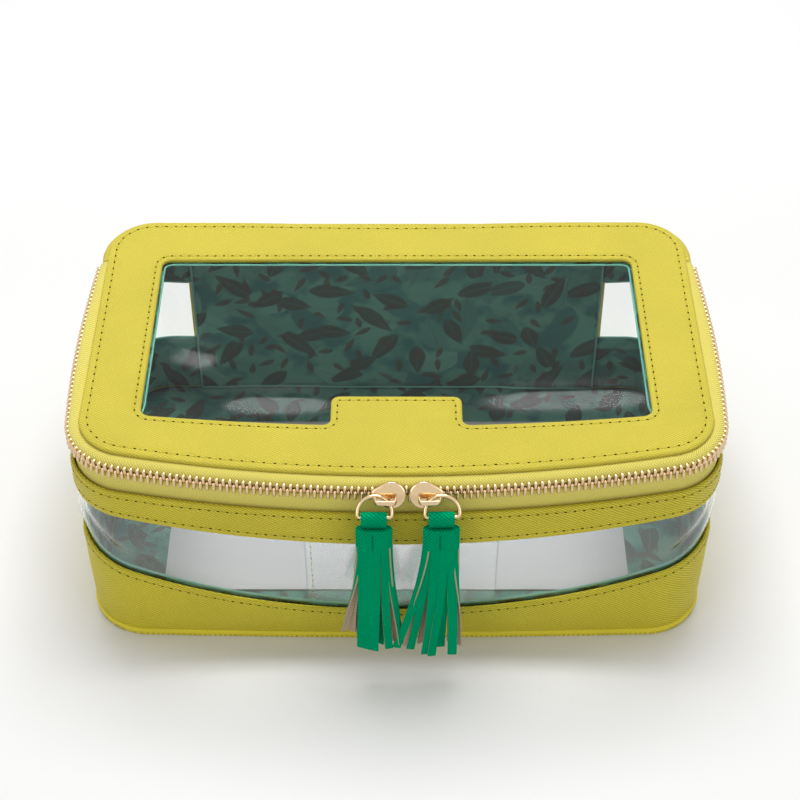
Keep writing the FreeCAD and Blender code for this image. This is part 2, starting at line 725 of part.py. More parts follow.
def flat_roll(name, sections):
    """Ruled solid through flat ovals, each a height, a half width and a half depth."""
    solid = doc.addObject("Part::Loft", name)
    ovals = []
    for index, (height, half, depth) in enumerate(sections):
        oval = doc.addObject("Sketcher::SketchObject", f"{name}_{index}")
        draw_round_rectangle(oval, f"-({half})", half, f"-({depth})", depth, f"{depth} - layer_gap")
        oval.Placement.Base = Vector(0, 0, value(height))
        bind(oval, Placement__Base__z=height)
        ovals.append(oval)
    solid.Sections = ovals
    solid.Solid = True
    solid.Ruled = True
    return solid


def make_tassel(name, side):
    """Strap with an eye round the ring's bar, rolled head and fringe, hanging from the bar."""
    across = FreeCAD.Rotation(Y_AXIS, 90)
    rounds = []
    for label, radius in (("EyeOuter", "eye_outer"), ("EyeInner", "eye_inner")):
        drum = doc.addObject("Part::Cylinder", name + label)
        drum.Placement = FreeCAD.Placement(Vector(), across)
        bind(drum, Radius=radius, Height="strap_width", Placement__Base__x="-strap_width / 2")
        rounds.append(drum)
    tail = box(name + "StrapTail", ("-strap_width / 2", "strap_width / 2"),
               ("-strap_leather", "strap_leather"), ("-head_drop", "0"))
    strap = boolean("Cut", name + "Strap", boolean("Fuse", name + "StrapWhole", rounds[0], tail), rounds[1])
    head_foot = "-head_drop - head_length"
    head = flat_roll(name + "HeadRoll", (
        (head_foot, "head_half_width", "head_half_depth"),
        ("-head_drop", "head_half_width", "head_half_depth"),
    ))
    fringe = flat_roll(name + "FringeRoll", (
        (f"{head_foot} - fringe_length", "fringe_half_width", "fringe_half_depth"),
        (head_foot, "head_half_width - layer_gap", "head_half_depth - layer_gap"),
    ))
    place = bar_place(side)
    pieces = []
    for label, part in (("tassel_strap", strap), ("tassel_head", head), ("tassel_fringe", fringe)):
        pieces.append((label, moved(name + label.title().replace("_", ""), part, place)))
    return pieces


def moved(name, part, place):
    """Set a finished shape down at a place, as a group of one."""
    holder = doc.addObject("Part::Compound", name + "Set")
    holder.Links = [part]
    holder.Placement = place
    return holder


def make_pulls():
    for name, side in (("left", -1), ("right", 1)):
        title = name.title()
        piece(name + "_slider", make_slider(title, side))
        piece(name + "_slider_bail", make_bail(title, side))
        piece(name + "_pull_ring", make_ring(title, side))
        for label, part in make_tassel(title, side):
            piece(name + "_" + label, part)


def export_all():
    """Check every object of the document and every sub-part, then write one file for each sub-part."""
    doc.recompute()
    for obj in doc.Objects:
        if "Invalid" in obj.State or "Error" in obj.State:
            raise RuntimeError("%s did not build: %s" % (obj.Label, obj.State))
    for name, obj in PIECES.items():
        if obj.Shape.isNull() or not obj.Shape.isValid():
            raise RuntimeError(name + " has no valid shape")
    os.makedirs("parts", exist_ok=True)
    for name, obj in PIECES.items():
        obj.Shape.exportStep("parts/%s.step" % name)
        print("%-20s solids %3d  volume %9.1f mm3" % (name, len(obj.Shape.Solids), obj.Shape.Volume))


make_base()
make_walls()
make_back()
make_zip()
make_lid()
make_pulls()
export_all()
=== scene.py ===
"""Looks of a zip case for game tiles: leather, clear sheet, printed lining, metal zip and two tassels."""

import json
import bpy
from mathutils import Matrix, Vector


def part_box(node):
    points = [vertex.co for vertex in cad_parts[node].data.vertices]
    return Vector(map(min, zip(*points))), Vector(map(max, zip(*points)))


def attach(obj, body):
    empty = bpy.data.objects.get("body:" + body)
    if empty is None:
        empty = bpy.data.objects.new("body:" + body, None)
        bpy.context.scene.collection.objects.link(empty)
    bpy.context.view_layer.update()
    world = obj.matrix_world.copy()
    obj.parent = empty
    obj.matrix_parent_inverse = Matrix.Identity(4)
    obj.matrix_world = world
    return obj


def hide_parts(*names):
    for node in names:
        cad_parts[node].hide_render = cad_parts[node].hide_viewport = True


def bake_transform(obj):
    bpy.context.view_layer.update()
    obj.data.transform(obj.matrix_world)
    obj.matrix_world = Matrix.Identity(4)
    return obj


bl_info = {
    "name": "Game tile bag",
    "version": (1, 0, 0),
    "blender": (4, 5, 0),
    "location": "3D View > Sidebar > Tile bag",
    "description": "Builds the leather, clear sheet, lining, zip and tassels of a game tile bag",
    "category": "Object",
}

from collections import namedtuple

import bmesh
import bpy
import numpy as np

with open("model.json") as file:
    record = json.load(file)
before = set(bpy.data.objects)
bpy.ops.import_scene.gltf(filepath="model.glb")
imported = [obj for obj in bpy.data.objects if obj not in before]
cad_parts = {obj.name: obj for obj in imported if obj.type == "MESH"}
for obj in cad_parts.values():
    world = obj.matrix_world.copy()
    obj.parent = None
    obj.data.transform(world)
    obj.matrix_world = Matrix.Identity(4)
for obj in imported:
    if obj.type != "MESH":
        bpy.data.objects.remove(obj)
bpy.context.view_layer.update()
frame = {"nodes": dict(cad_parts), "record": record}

MM = 0.001
UV_UNIT = 0.01


def node_box(node):
    """Lowest and highest corner of a CAD node, in millimetres."""
    low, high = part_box(node)
    return np.array(low) / MM, np.array(high) / MM


LID_LOW, LID_HIGH = node_box("lid_frame")
BASE_LOW, BASE_HIGH = node_box("base_panel")
BODY_LOW, BODY_HIGH = node_box("upper_band")
WALL_LOW, WALL_HIGH = node_box("clear_wall")
BACK_LOW, BACK_HIGH = node_box("back_panel")
TEETH_LOW, TEETH_HIGH = node_box("upper_zip_teeth")
CHAIN_MIDDLE = 0.5 * (node_box("lower_zip_teeth")[1][2] + TEETH_LOW[2])
TAPE_FOOT = node_box("lower_zip_tape")[0][2]
WELT_TOP = node_box("base_welt")[1][2]
JOINTS = {joint["name"]: joint for joint in frame["record"]["behaviour"]["joints"]}

# Materials by the name of the finish, filled by the first operator
FINISH = {}

UP = np.array([0.0, 0.0, 1.0])
# Half widths at which the leather bands and the clear sheet end on the back
BAND_END = 97.0
SHEET_END = 89.0
# Points along a side, round a corner and along the front of a line round the bag
WALL_COUNTS = (44, 30, 220)
ZIP_COUNTS = (60, 40, 300)
# Distance of the zip's chain inside the walls' outline
CHAIN_INSET = 1.9
# Half of the slit between the zip's tapes, how far they stand before the chain's line, and their thickness
TAPE_GAP = 0.7
TAPE_PROUD = 0.2
TAPE_CLOTH = 0.5
# Where the upper tape's weave starts across its UV map; the lower tape's runs by height
UPPER_WEAVE = 30.0
# Half width and front edge of the lid's window, and points along half of the lid's back edge
WINDOW_HALF = 105.0
WINDOW_FRONT = -51.2
LID_STUB = 60


def length(name, description, value):
    """Property for a length, given in millimetres."""
    return bpy.props.FloatProperty(name=name, description=description, default=value * MM, unit="LENGTH")


def tint(name, description, *rgb):
    """Property for an opaque colour."""
    return bpy.props.FloatVectorProperty(name=name, description=description, default=rgb + (1,),
                                         subtype="COLOR", size=4, min=0, max=1)


class BagSizes(bpy.types.PropertyGroup):
    """Sizes a maker would change; the main ones come from the frame."""

    lid_bow: length("Lid bow", "How far the lid's front edge bows out in plan", 16)
    base_bow: length("Base bow", "How far the base's front edge bows out in plan", 2.5)
    leather: length("Leather", "Thickness of the leather of the walls", 1.4)
    wall_knee: length("Wall knee", "Height at which the walls stop leaning out and stand upright", 66)
    stitch_pitch: length("Stitch pitch", "Distance from one stitch hole to the next", 3.8)
    stitch_margin: length("Stitch margin", "Distance of a stitch row from the leather's edge", 3.0)
    wall_bulge: length("Wall bulge", "How far the clear sheet swells out between the two leather bands", 2.6)
    crease_depth: length("Crease depth", "Depth of the buckle in the clear sheet at each front corner", 3.4)
    tooth_pitch: length("Tooth pitch", "Distance from one zip tooth to the next in a row", 2.7)
    side_bow: length("Side bow", "How far the zip bows out along the bag's sides", 2.8)
    strip_thickness: length("Strip thickness", "Thickness of the tassels' leather strips", 1.0)


class BagColours(bpy.types.PropertyGroup):
    """Colours a maker would change."""

    leather: tint("Leather", "Colour of the cross-hatched leather", 0.76, 0.65, 0.075)
    wall_leather: tint("Wall leather", "Colour of the bands', the base's and the back's leather",
                       0.86, 0.735, 0.045)
    leather_pit: tint("Leather pits", "Colour in the pressed lines of the leather", 0.40, 0.33, 0.008)
    tape: tint("Zip tape", "Colour of the woven zip tape", 0.82, 0.715, 0.145)
    thread: tint("Thread", "Colour of the sewing thread", 0.70, 0.60, 0.05)
    metal: tint("Metal", "Colour of the plated zip, sliders and rings", 0.76, 0.56, 0.33)
    tassel: tint("Tassel", "Colour of the tassels' leather", 0.0, 0.44, 0.19)
    suede: tint("Suede", "Colour of the raw back and edges of the tassels' leather", 0.50, 0.39, 0.26)
    lining_ground: tint("Lining ground", "Ground colour of the printed lining", 0.046, 0.155, 0.112)
    lining_leaf: tint("Lining leaf", "Colour of the large dark leaves of the lining", 0.014, 0.024, 0.017)
    lining_sprig: tint("Lining sprig", "Colour of the mid-tone leaves of the lining", 0.006, 0.078, 0.064)
    lining_edge: tint("Lining edge", "Colour of the lining's turned edge", 0.075, 0.27, 0.20)
    insert: tint("Floor sheet", "Colour of the loose sheet on the floor inside", 0.25, 0.25, 0.248)
    floor: tint("Studio floor", "Colour of the studio floor", 0.84, 0.84, 0.842)


def size(name):
    """A size of the sidebar, in millimetres."""
    return getattr(bpy.context.scene.bag_sizes, name) / MM


def colour(name):
    """A colour of the sidebar."""
    return tuple(getattr(bpy.context.scene.bag_colours, name))


Plan = namedtuple("Plan", "half back front radius corner_front corner_back")


def bow_radius(half, bow):
    """Radius of an arc whose middle stands out by bow over a chord of twice half."""
    return (half ** 2 + bow ** 2) / (2 * bow)


def lid_plan():
    """Outline of the lid in plan."""
    half = LID_HIGH[0]
    return Plan(half, LID_HIGH[1], -LID_LOW[1], bow_radius(half, size("lid_bow")), 22, 20)


def body_plan():
    """Outline of the upright part of the walls in plan: the lid's outline with the zip's step round it."""
    lid = lid_plan()
    step = BODY_HIGH[0] - lid.half
    return Plan(BODY_HIGH[0], BODY_HIGH[1], -BODY_LOW[1], lid.radius + step, lid.corner_front + step,
                lid.corner_back + step)


def base_plan():
    """Outline of the base in plan."""
    half = BASE_HIGH[0]
    return Plan(half, BASE_HIGH[1], -BASE_LOW[1], bow_radius(half, size("base_bow")), 25, 23)


def straight(start, end, count):
    """Points on a straight run, its end left out: start plus a growing share of the run."""
    share = np.linspace(0, 1, count, endpoint=False)[:, None]
    return np.array(start) + (np.array(end) - np.array(start)) * share


def arc(centre, radius, start, end, count):
    """Points on an arc, its end left out: the radius turned from the start angle to the end angle."""
    angle = np.linspace(start, end, count, endpoint=False)
    return np.array(centre) + radius * np.stack([np.cos(angle), np.sin(angle)], axis=1)


def front_path(plan, inset=0.0, from_y=None, counts=WALL_COUNTS, last=True):
    """Line in plan down the left side, round the front and up the right side: straight sides, round corners
    and one wide arc. inset moves all of it inwards."""
    half, corner = plan.half - inset, plan.corner_front - inset
    radius = plan.radius - inset
    centre_y = plan.radius - plan.front
    corner_x = half - corner
    corner_y = centre_y - np.sqrt((radius - corner) ** 2 - corner_x ** 2)
    lean = np.arcsin(corner_x / (radius - corner))
    if from_y is None:
        from_y = plan.back - plan.corner_back
    down = -np.pi / 2
    points = [
        straight((-half, from_y), (-half, corner_y), counts[0]),
        arc((-corner_x, corner_y), corner, -np.pi, down - lean, counts[1]),
        arc((0, centre_y), radius, down - lean, down + lean, counts[2]),
        arc((corner_x, corner_y), corner, down + lean, 0, counts[1]),
        straight((half, corner_y), (half, from_y), counts[0]),
    ]
    if last:
        points.append(np.array([[half, from_y]]))
    return np.concatenate(points)


def wall_path(plan, inset=0.0, start=BAND_END, stub=8):
    """Line in plan from the left end of the back panel round the bag to its right end: a stub on the back, a
    round corner, the front path, and the same again on the right."""
    half, back, corner = plan.half - inset, plan.back - inset, plan.corner_back - inset
    corner_x = half - corner
    return np.concatenate([
        straight((-start, back), (-corner_x, back), stub),
        arc((-corner_x, back - corner), corner, np.pi / 2, np.pi, WALL_COUNTS[1]),
        front_path(plan, inset, last=False),
        arc((corner_x, back - corner), corner, 0, np.pi / 2, WALL_COUNTS[1]),
        straight((corner_x, back), (start, back), stub),
        np.array([[start, back]]),
    ])


def outward(path, closed=False):
    """Outward unit normal in plan of an anticlockwise line: its direction turned a quarter clockwise."""
    if closed:
        along = np.roll(path, -1, axis=0) - np.roll(path, 1, axis=0)
    else:
        along = np.gradient(path, axis=0)
    along = unit(along)
    return np.stack([along[:, 1], -along[:, 0]], axis=1)


def run_length(path):
    """Distance along a line up to each of its points."""
    steps = np.linalg.norm(np.diff(path, axis=0), axis=1)
    return np.concatenate([[0.0], np.cumsum(steps)])


def unit(directions):
    """Rows of directions, each divided by its length."""
    return directions / np.linalg.norm(directions, axis=1, keepdims=True)


def raised(plan, height):
    """Points of space from points in plan and their heights."""
    return np.concatenate([plan, np.broadcast_to(height, plan.shape[:-1])[..., None]], axis=-1)


def wall_point(height, out, start=BAND_END):
    """Points of the leaning wall: in plan the base outline goes over to the body outline up to the knee, then
    stands upright. height and out have one row for each point of the wall path; out moves outwards."""
    foot = wall_path(base_plan(), 0.0, start)
    top = wall_path(body_plan(), 0.0, start)
    share = np.clip(height / size("wall_knee"), 0, 1)[..., None]
    plan = foot[:, None] * (1 - share) + top[:, None] * share
    return raised(plan + outward(top)[:, None] * out[..., None], height)


def swoop(across, middle, rise):
    """Height of a swooping edge: an arc lowest at the middle that climbs by rise at the bag's ends."""
    half = 136.2
    radius = bow_radius(half, rise)
    return middle + radius - np.sqrt(radius ** 2 - np.clip(np.abs(across), 0, half) ** 2)


def ripple(a, b, seed):
    """Soft irregular waviness between -1 and 1: a few sine waves of seeded direction, rate and phase,
    averaged."""
    count, slowest, fastest = 5, 0.6, 2.4
    rng = np.random.default_rng(seed)
    turn = rng.uniform(0, 2 * np.pi, count)
    rate = rng.uniform(slowest, fastest, count)
    phase = rng.uniform(0, 2 * np.pi, count)
    wave = np.sin((np.cos(turn) * a[..., None] + np.sin(turn) * b[..., None]) * rate + phase)
    return wave.sum(axis=-1) / count


def circle(count):
    """Angles of points round a circle."""
    return np.linspace(0, 2 * np.pi, count, endpoint=False)


def squared(angle, power):
    """Cosine and sine of angles, raised to a power below one so that the circle turns into a rounded
    square."""
    return [np.sign(wave) * np.abs(wave) ** power for wave in (np.cos(angle), np.sin(angle))]


def new_object(name, vertices, faces, uv=None):
    """Smooth mesh object at the origin from millimetre points, faces and an optional UV pair for each face
    corner."""
    mesh = bpy.data.meshes.new(name)
    mesh.from_pydata((np.asarray(vertices, float) * MM).tolist(), [], np.asarray(faces).tolist())
    if uv is not None:
        layer = mesh.uv_layers.new(name="surface")
        layer.data.foreach_set("uv", (np.asarray(uv, float) * UV_UNIT).ravel())
    mesh.polygons.foreach_set("use_smooth", np.ones(len(mesh.polygons), bool))
    mesh.update()
    obj = bpy.data.objects.new(name, mesh)
    bpy.context.scene.collection.objects.link(obj)
    return obj


def quad_corners(rows, columns, wrap):
    """Row and column of the four corners of every quad of a grid; wrap closes a direction."""
    i, j = np.meshgrid(np.arange(rows - (not wrap[0])), np.arange(columns - (not wrap[1])), indexing="ij")
    return [(i, j), (i + 1, j), (i + 1, j + 1), (i, j + 1)]


def grid_faces(rows, columns, wrap=(False, False)):
    """Quads of a grid as index rows."""
    corners = quad_corners(rows, columns, wrap)
    return np.stack([(a % rows) * columns + b % columns for a, b in corners], axis=-1).reshape(-1, 4)


def surface(name, grid, uv=None, wrap=(False, False)):
    """Mesh object from a grid of points, joined by quads; wrap closes a direction. uv has one more row or
    column than the grid in a closed direction."""
    if uv is not None:
        corners = quad_corners(*grid.shape[:2], wrap)
        uv = np.stack([uv[a, b] for a, b in corners], axis=2).reshape(-1, 2)
    return new_object(name, grid.reshape(-1, 3), grid_faces(*grid.shape[:2], wrap), uv)


def uv_grid(along, across):
    """UV pairs of a grid from its runs along and across."""
    return np.stack(np.broadcast_arrays(along, across), axis=-1)


def copies(name, points, faces, places, frames):
    """Mesh object of one small shape repeated: at each place its points are turned by that place's frame,
    whose rows are the shape's own three directions."""
    moved = np.einsum("nk,mkd->mnd", points, frames) + places[:, None]
    shift = (np.arange(len(places)) * len(points))[:, None, None]
    many = (np.asarray(faces)[None] + shift).reshape(-1, faces.shape[1])
    return new_object(name, moved.reshape(-1, 3), many)


def tidy(obj):
    """Merge the doubled points of poles and seams, drop flat faces and point every face outwards."""
    distance = 1e-6
    work = bmesh.new()
    work.from_mesh(obj.data)
    bmesh.ops.remove_doubles(work, verts=work.verts, dist=distance)
    bmesh.ops.dissolve_degenerate(work, edges=work.edges, dist=distance)
    bmesh.ops.recalc_face_normals(work, faces=work.faces)
    work.to_mesh(obj.data)
    work.free()
    return obj


def thicken(obj, thickness):
    """Give a sheet its thickness, inwards from its face."""
    modifier = obj.modifiers.new("thickness", "SOLIDIFY")
    modifier.thickness = thickness * MM
    modifier.offset = -1.0
    return obj


def dress(obj, body, slot, finish, *nodes):
    """Finish a piece: its material, the body it rides on and the CAD nodes it stands for; slot is not used.
    """
    if not obj.data.materials:
        obj.data.materials.append(FINISH[finish])
    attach(obj, body)
    if nodes:
        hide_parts(*nodes)
    return obj


class Wiring:
    """Short way to add shader nodes to one tree and to link them."""

    def __init__(self, tree):
        self.tree = tree

    def feed(self, socket, value):
        """Link a socket into another one, or set a plain value on it."""
        if isinstance(value, bpy.types.NodeSocket):
            self.tree.links.new(value, socket)
        else:
            socket.default_value = value

    def add(self, kind, inputs=None, **settings):
        """A node with its settings and inputs."""
        node = self.tree.nodes.new(kind)
        for key, value in settings.items():
            setattr(node, key, value)
        for key, value in (inputs or {}).items():
            self.feed(node.inputs[key], value)
        return node

    def math(self, operation, *values):
        """One math step on one to three values."""
        return self.add("ShaderNodeMath", dict(enumerate(values)), operation=operation).outputs[0]

    def times(self, *values):
        """Product of two or more values."""
        result = values[0]
        for value in values[1:]:
            result = self.math("MULTIPLY", result, value)
        return result

    def wave(self, turns):
        """Size of a sine that makes one hump in each turn."""
        return self.math("ABSOLUTE", self.math("SINE", self.times(turns, np.pi)))

    def place(self, kind):
        """Coordinates of the surface: Object or UV."""
        return self.add("ShaderNodeTexCoord").outputs[kind]

    def parts(self, vector):
        """X, Y and Z of a vector."""
        return self.add("ShaderNodeSeparateXYZ", {0: vector}).outputs

    def vector(self, operation, *values, out="Vector"):
        """One vector step; out names the output."""
        node = self.add("ShaderNodeVectorMath", dict(enumerate(values)), operation=operation)
        return node.outputs[out]

    def step(self, value, start, end):
        """Smooth 0 to 1 as a value goes from start to end."""
        node = self.add("ShaderNodeMapRange", {"Value": value, "From Min": start, "From Max": end},
                        interpolation_type="SMOOTHSTEP")
        return node.outputs[0]

    def blend(self, factor, first, second):
        """Colour between two colours."""
        node = self.add("ShaderNodeMix", {0: factor, 6: first, 7: second}, data_type="RGBA")
        return node.outputs[2]

    def noise(self, vector, scale, detail=2.0):
        """Soft noise between 0 and 1."""
        node = self.add("ShaderNodeTexNoise", {"Vector": vector, "Scale": scale, "Detail": detail})
        return node.outputs["Fac"]

    def group(self, name, inputs):
        """One of the shared groups, with its own inputs."""
        node = self.add("ShaderNodeGroup", node_tree=bpy.data.node_groups[name])
        for key, value in inputs.items():
            self.feed(node.inputs[key], value)
        return node.outputs


def new_group(name, inputs, outputs):
    """Empty shader group with sockets given by name and kind; gives its wiring, its inputs and its
    outputs."""
    tree = bpy.data.node_groups.new(name, "ShaderNodeTree")
    for way, sockets in (("INPUT", inputs), ("OUTPUT", outputs)):
        for key, kind in sockets.items():
            tree.interface.new_socket(key, in_out=way, socket_type="NodeSocket" + kind)
    wires = Wiring(tree)
    return wires, wires.add("NodeGroupInput").outputs, wires.add("NodeGroupOutput").inputs


def cross_hatch_group():
    """Pressed cross-hatch: two sets of slanting lines whose pits meet, shaken by noise so that no line runs
    through; height is the lower of the two sets."""
    wires, entry, end = new_group("cross_hatch", {"Vector": "Vector", "Pitch": "Float"},
                                  {"Height": "Float", "Pit": "Float", "Patch": "Float"})
    vector = entry["Vector"]
    shake = wires.add("ShaderNodeTexNoise", {"Vector": vector, "Scale": 55.0, "Detail": 1.0}).outputs["Color"]
    shake = wires.vector("SCALE", wires.vector("SUBTRACT", shake, (0.5, 0.5, 0.5)))
    shake.node.inputs["Scale"].default_value = 0.0065
    moved = wires.vector("ADD", vector, shake)
    lines = []
    for slant in ((0.53, 0.85, 0.0), (-0.53, 0.85, 0.0)):
        run = wires.vector("DOT_PRODUCT", moved, slant, out="Value")
        lines.append(wires.wave(wires.math("DIVIDE", run, entry["Pitch"])))
    weaker = wires.math("MULTIPLY_ADD", lines[1], 0.8, 0.2)
    height = wires.math("POWER", wires.math("MINIMUM", lines[0], weaker), 0.6)
    wires.feed(end["Height"], height)
    wires.feed(end["Pit"], wires.step(height, 0.78, 0.25))
    wires.feed(end["Patch"], wires.noise(vector, 2.6, 3.0))


def weave_group():
    """Chevron weave: slanting ribs whose slant flips from one row to the next."""
    wires, entry, end = new_group("chevron_weave", {"Vector": "Vector", "Rib": "Float", "Row": "Float"},
                                  {"Height": "Float", "Gap": "Float"})
    parts = wires.parts(entry["Vector"])
    zigzag = wires.math("PINGPONG", parts["Y"], entry["Row"])
    rib = wires.wave(wires.math("DIVIDE", wires.math("ADD", parts["X"], zigzag), entry["Rib"]))
    fibre = wires.noise(entry["Vector"], 420.0, 1.0)
    wires.feed(end["Height"], wires.math("ADD", wires.times(rib, 0.75), wires.times(fibre, 0.25)))
    wires.feed(end["Gap"], wires.step(rib, 0.55, 0.05))


def leaf_layer(wires, vector, scale, length, width, veins):
    """Masks of one layer of leaves, one to a cell: a pointed oval turned by the cell's own random angle, and
    its veins; also the cell's random value."""
    cells = wires.add("ShaderNodeTexVoronoi", {"Vector": vector, "Scale": scale, "Randomness": 0.85},
                      voronoi_dimensions="2D")
    local = wires.vector("SUBTRACT", vector, cells.outputs["Position"])
    pick = wires.add("ShaderNodeSeparateColor", {0: cells.outputs["Color"]}).outputs
    angle = wires.times(pick["Red"], 2 * np.pi)
    turned = wires.add("ShaderNodeVectorRotate", {"Vector": local, "Angle": angle}, rotation_type="Z_AXIS")
    parts = wires.parts(turned.outputs[0])
    reach = wires.times(length, wires.math("MULTIPLY_ADD", pick["Green"], 0.5, 0.7))
    along = wires.math("DIVIDE", parts["X"], reach)
    off = wires.math("ABSOLUTE", parts["Y"])
    body = wires.math("SUBTRACT", 1.0, wires.times(along, along))
    skew = wires.math("SUBTRACT", 1.0, wires.times(along, 0.45))
    ragged = wires.math("MULTIPLY_ADD", wires.noise(vector, 260.0, 2.0), 0.3, 0.85)
    edge = wires.times(body, skew, width, ragged)
    mask = wires.step(wires.math("SUBTRACT", edge, off), 0.0, 0.003)
    slant = wires.math("SUBTRACT", parts["X"], wires.times(off, 1.1))
    comb = wires.math("ABSOLUTE", wires.math("SINE", wires.times(slant, veins)))
    rib = wires.math("MAXIMUM", wires.step(comb, 0.35, 0.05), wires.step(off, 0.0045, 0.0015))
    return mask, wires.times(rib, mask), pick["Blue"]


def leaf_print_group():
    """Printed cloth: a clouded ground, and over it layers of mid-tone, dark and small leaves with lighter
    veins, each layer on its own cells."""
    wires, entry, end = new_group(
        "leaf_print", {"Vector": "Vector", "Ground": "Color", "Leaf": "Color", "Sprig": "Color"},
        {"Color": "Color", "Height": "Float"})
    vector, ground, leaf, sprig = (entry[key] for key in ("Vector", "Ground", "Leaf", "Sprig"))
    paint = wires.blend(wires.step(wires.noise(vector, 7.0, 3.0), 0.42, 0.62), ground, sprig)
    aside = wires.vector("ADD", vector, (0.37, 0.81, 0.0))
    mask, rib, pick = leaf_layer(wires, aside, 4.2, 0.125, 0.062, 300.0)
    pale = wires.blend(0.4, ground, (0.10, 0.26, 0.20, 1))
    paint = wires.blend(wires.times(mask, 0.9), paint, wires.blend(pick, sprig, pale))
    paint = wires.blend(wires.times(rib, 0.35), paint, leaf)
    mask, rib, pick = leaf_layer(wires, vector, 5.4, 0.11, 0.040, 420.0)
    paint = wires.blend(wires.times(mask, wires.step(pick, 0.12, 0.2), 0.93), paint, leaf)
    paint = wires.blend(wires.times(rib, 0.30), paint, ground)
    aside = wires.vector("ADD", vector, (1.7, 0.23, 0.0))
    mask, rib, pick = leaf_layer(wires, aside, 10.5, 0.05, 0.016, 700.0)
    small_leaf = (0.030, 0.027, 0.018, 1)
    paint = wires.blend(wires.times(mask, wires.step(pick, 0.35, 0.45), 0.85), paint, small_leaf)
    wires.feed(end["Color"], paint)
    wires.feed(end["Height"], wires.noise(vector, 600.0, 1.0))


def new_material(name, **values):
    """Material with one Principled shader, its plain values set on its own sockets; gives wiring and
    shader."""
    material = bpy.data.materials.new(name)
    material.use_nodes = True
    wires = Wiring(material.node_tree)
    shader = material.node_tree.nodes["Principled BSDF"]
    for key, value in values.items():
        shader.inputs[key.replace("_", " ").title().replace("Ior", "IOR")].default_value = value
    return material, wires, shader


def bump(wires, shader, height, strength, distance):
    """Feed a height into the shader's normal."""
    node = wires.add("ShaderNodeBump", {"Height": height, "Strength": strength, "Distance": distance})
    wires.feed(shader.inputs["Normal"], node.outputs["Normal"])


def shade(share, face):
    """A colour darkened to a share of itself."""
    return tuple(share * part for part in face[:3]) + (1,)


def hatched_leather(name, face, pit, pitch, roughness, strength, gloss):
    """Leather pressed with cross-hatch: darker in the pits, a little cloudy, glossier on the ridges."""
    material, wires, shader = new_material(name, specular_ior_level=gloss)
    hatch = wires.group("cross_hatch", {"Vector": wires.place("UV"), "Pitch": pitch * UV_UNIT})
    paint = wires.blend(wires.step(hatch["Patch"], 0.3, 0.7), shade(0.93, face), face)
    paint = wires.blend(wires.times(hatch["Pit"], 0.75), paint, pit)
    wires.feed(shader.inputs["Base Color"], paint)
    wires.feed(shader.inputs["Roughness"], wires.math("MULTIPLY_ADD", hatch["Pit"], 0.2, roughness))
    bump(wires, shader, hatch["Height"], strength, 0.0003)
    return material


def clouded(name, dark, face, scale, detail=2.0, **values):
    """Finish whose colour drifts from a dark one to its face colour with soft noise; gives the noise as
    well."""
    material, wires, shader = new_material(name, **values)
    cloud = wires.noise(wires.place("Object"), scale, detail)
    wires.feed(shader.inputs["Base Color"], wires.blend(cloud, dark, face))
    return material, wires, shader, cloud


def suede():
    """Raw back of the leather: short fuzz in two tones."""
    material, wires, shader = new_material("suede", roughness=0.95, specular_ior_level=0.2, sheen_weight=0.3)
    face = colour("suede")
    fuzz = wires.noise(wires.place("Object"), 2600.0, 3.0)
    wires.feed(shader.inputs["Base Color"], wires.blend(wires.step(fuzz, 0.3, 0.7), shade(0.68, face), face))
    bump(wires, shader, fuzz, 0.5, 0.0003)
    return material


def zip_tape():
    """Chevron weave, darker in its gaps, with painted shade along the edge that carries the teeth, where the
    slit between the tapes lies in shade.
    """
    material, wires, shader = new_material("zip_tape", roughness=0.78, specular_ior_level=0.25,
                                           sheen_weight=0.15)
    place, face = wires.place("UV"), colour("tape")
    weave = wires.group("chevron_weave", {"Vector": place, "Rib": 1.25 * UV_UNIT, "Row": 2.3 * UV_UNIT})
    paint = wires.blend(wires.times(weave["Gap"], 0.8), face, shade(0.45, face))
    across = wires.parts(place)["Y"]
    # Painted shade: within about a millimetre of the chain the tape goes over to a near-black brown, the
    # shade of the slit between the tapes
    beside = wires.math("MAXIMUM", wires.step(across, 96.1 * UV_UNIT, 97.3 * UV_UNIT),
                        wires.step(across, 31.4 * UV_UNIT, 30.3 * UV_UNIT))
    gap_shade_painted = wires.blend(wires.times(beside, 0.85), paint, (0.085, 0.055, 0.010, 1))
    wires.feed(shader.inputs["Base Color"], gap_shade_painted)
    bump(wires, shader, weave["Height"], 0.7, 0.0004)
    return material


def sewing_thread():
    """Twisted sewing thread: slanting bands in two tones."""
    material, wires, shader = new_material("thread", roughness=0.6, specular_ior_level=0.4)
    face = colour("thread")
    inputs = {"Vector": wires.place("Object"), "Scale": 420.0, "Distortion": 1.0}
    twist = wires.add("ShaderNodeTexWave", inputs, bands_direction="DIAGONAL").outputs["Fac"]
    wires.feed(shader.inputs["Base Color"], wires.blend(twist, shade(0.72, face), face))
    bump(wires, shader, twist, 0.4, 0.0002)
    return material


def plated_metal():
    """Plated metal, cloudy in colour and gloss."""
    face = colour("metal")
    material, wires, shader, cloud = clouded("plated_metal", shade(0.9, face), face, 300.0, 3.0, metallic=1.0)
    wires.feed(shader.inputs["Roughness"], wires.math("MULTIPLY_ADD", cloud, 0.12, 0.1))
    return material


def clear_sheet(name, coat, blur):
    """Clear plastic: thin sheet that hardly bends light, with a coat that mirrors it; its shadow is faint."""
    material, wires, shader = new_material(name, base_color=(0.97, 0.985, 0.985, 1), roughness=0.0, ior=1.06,
                                           transmission_weight=1.0, coat_weight=1.0, coat_roughness=blur)
    shader.inputs["Coat IOR"].default_value = coat
    shaded = wires.add("ShaderNodeLightPath").outputs["Is Shadow Ray"]
    wires.feed(shader.inputs["Alpha"], wires.math("SUBTRACT", 1.0, wires.times(shaded, 0.95)))
    return material


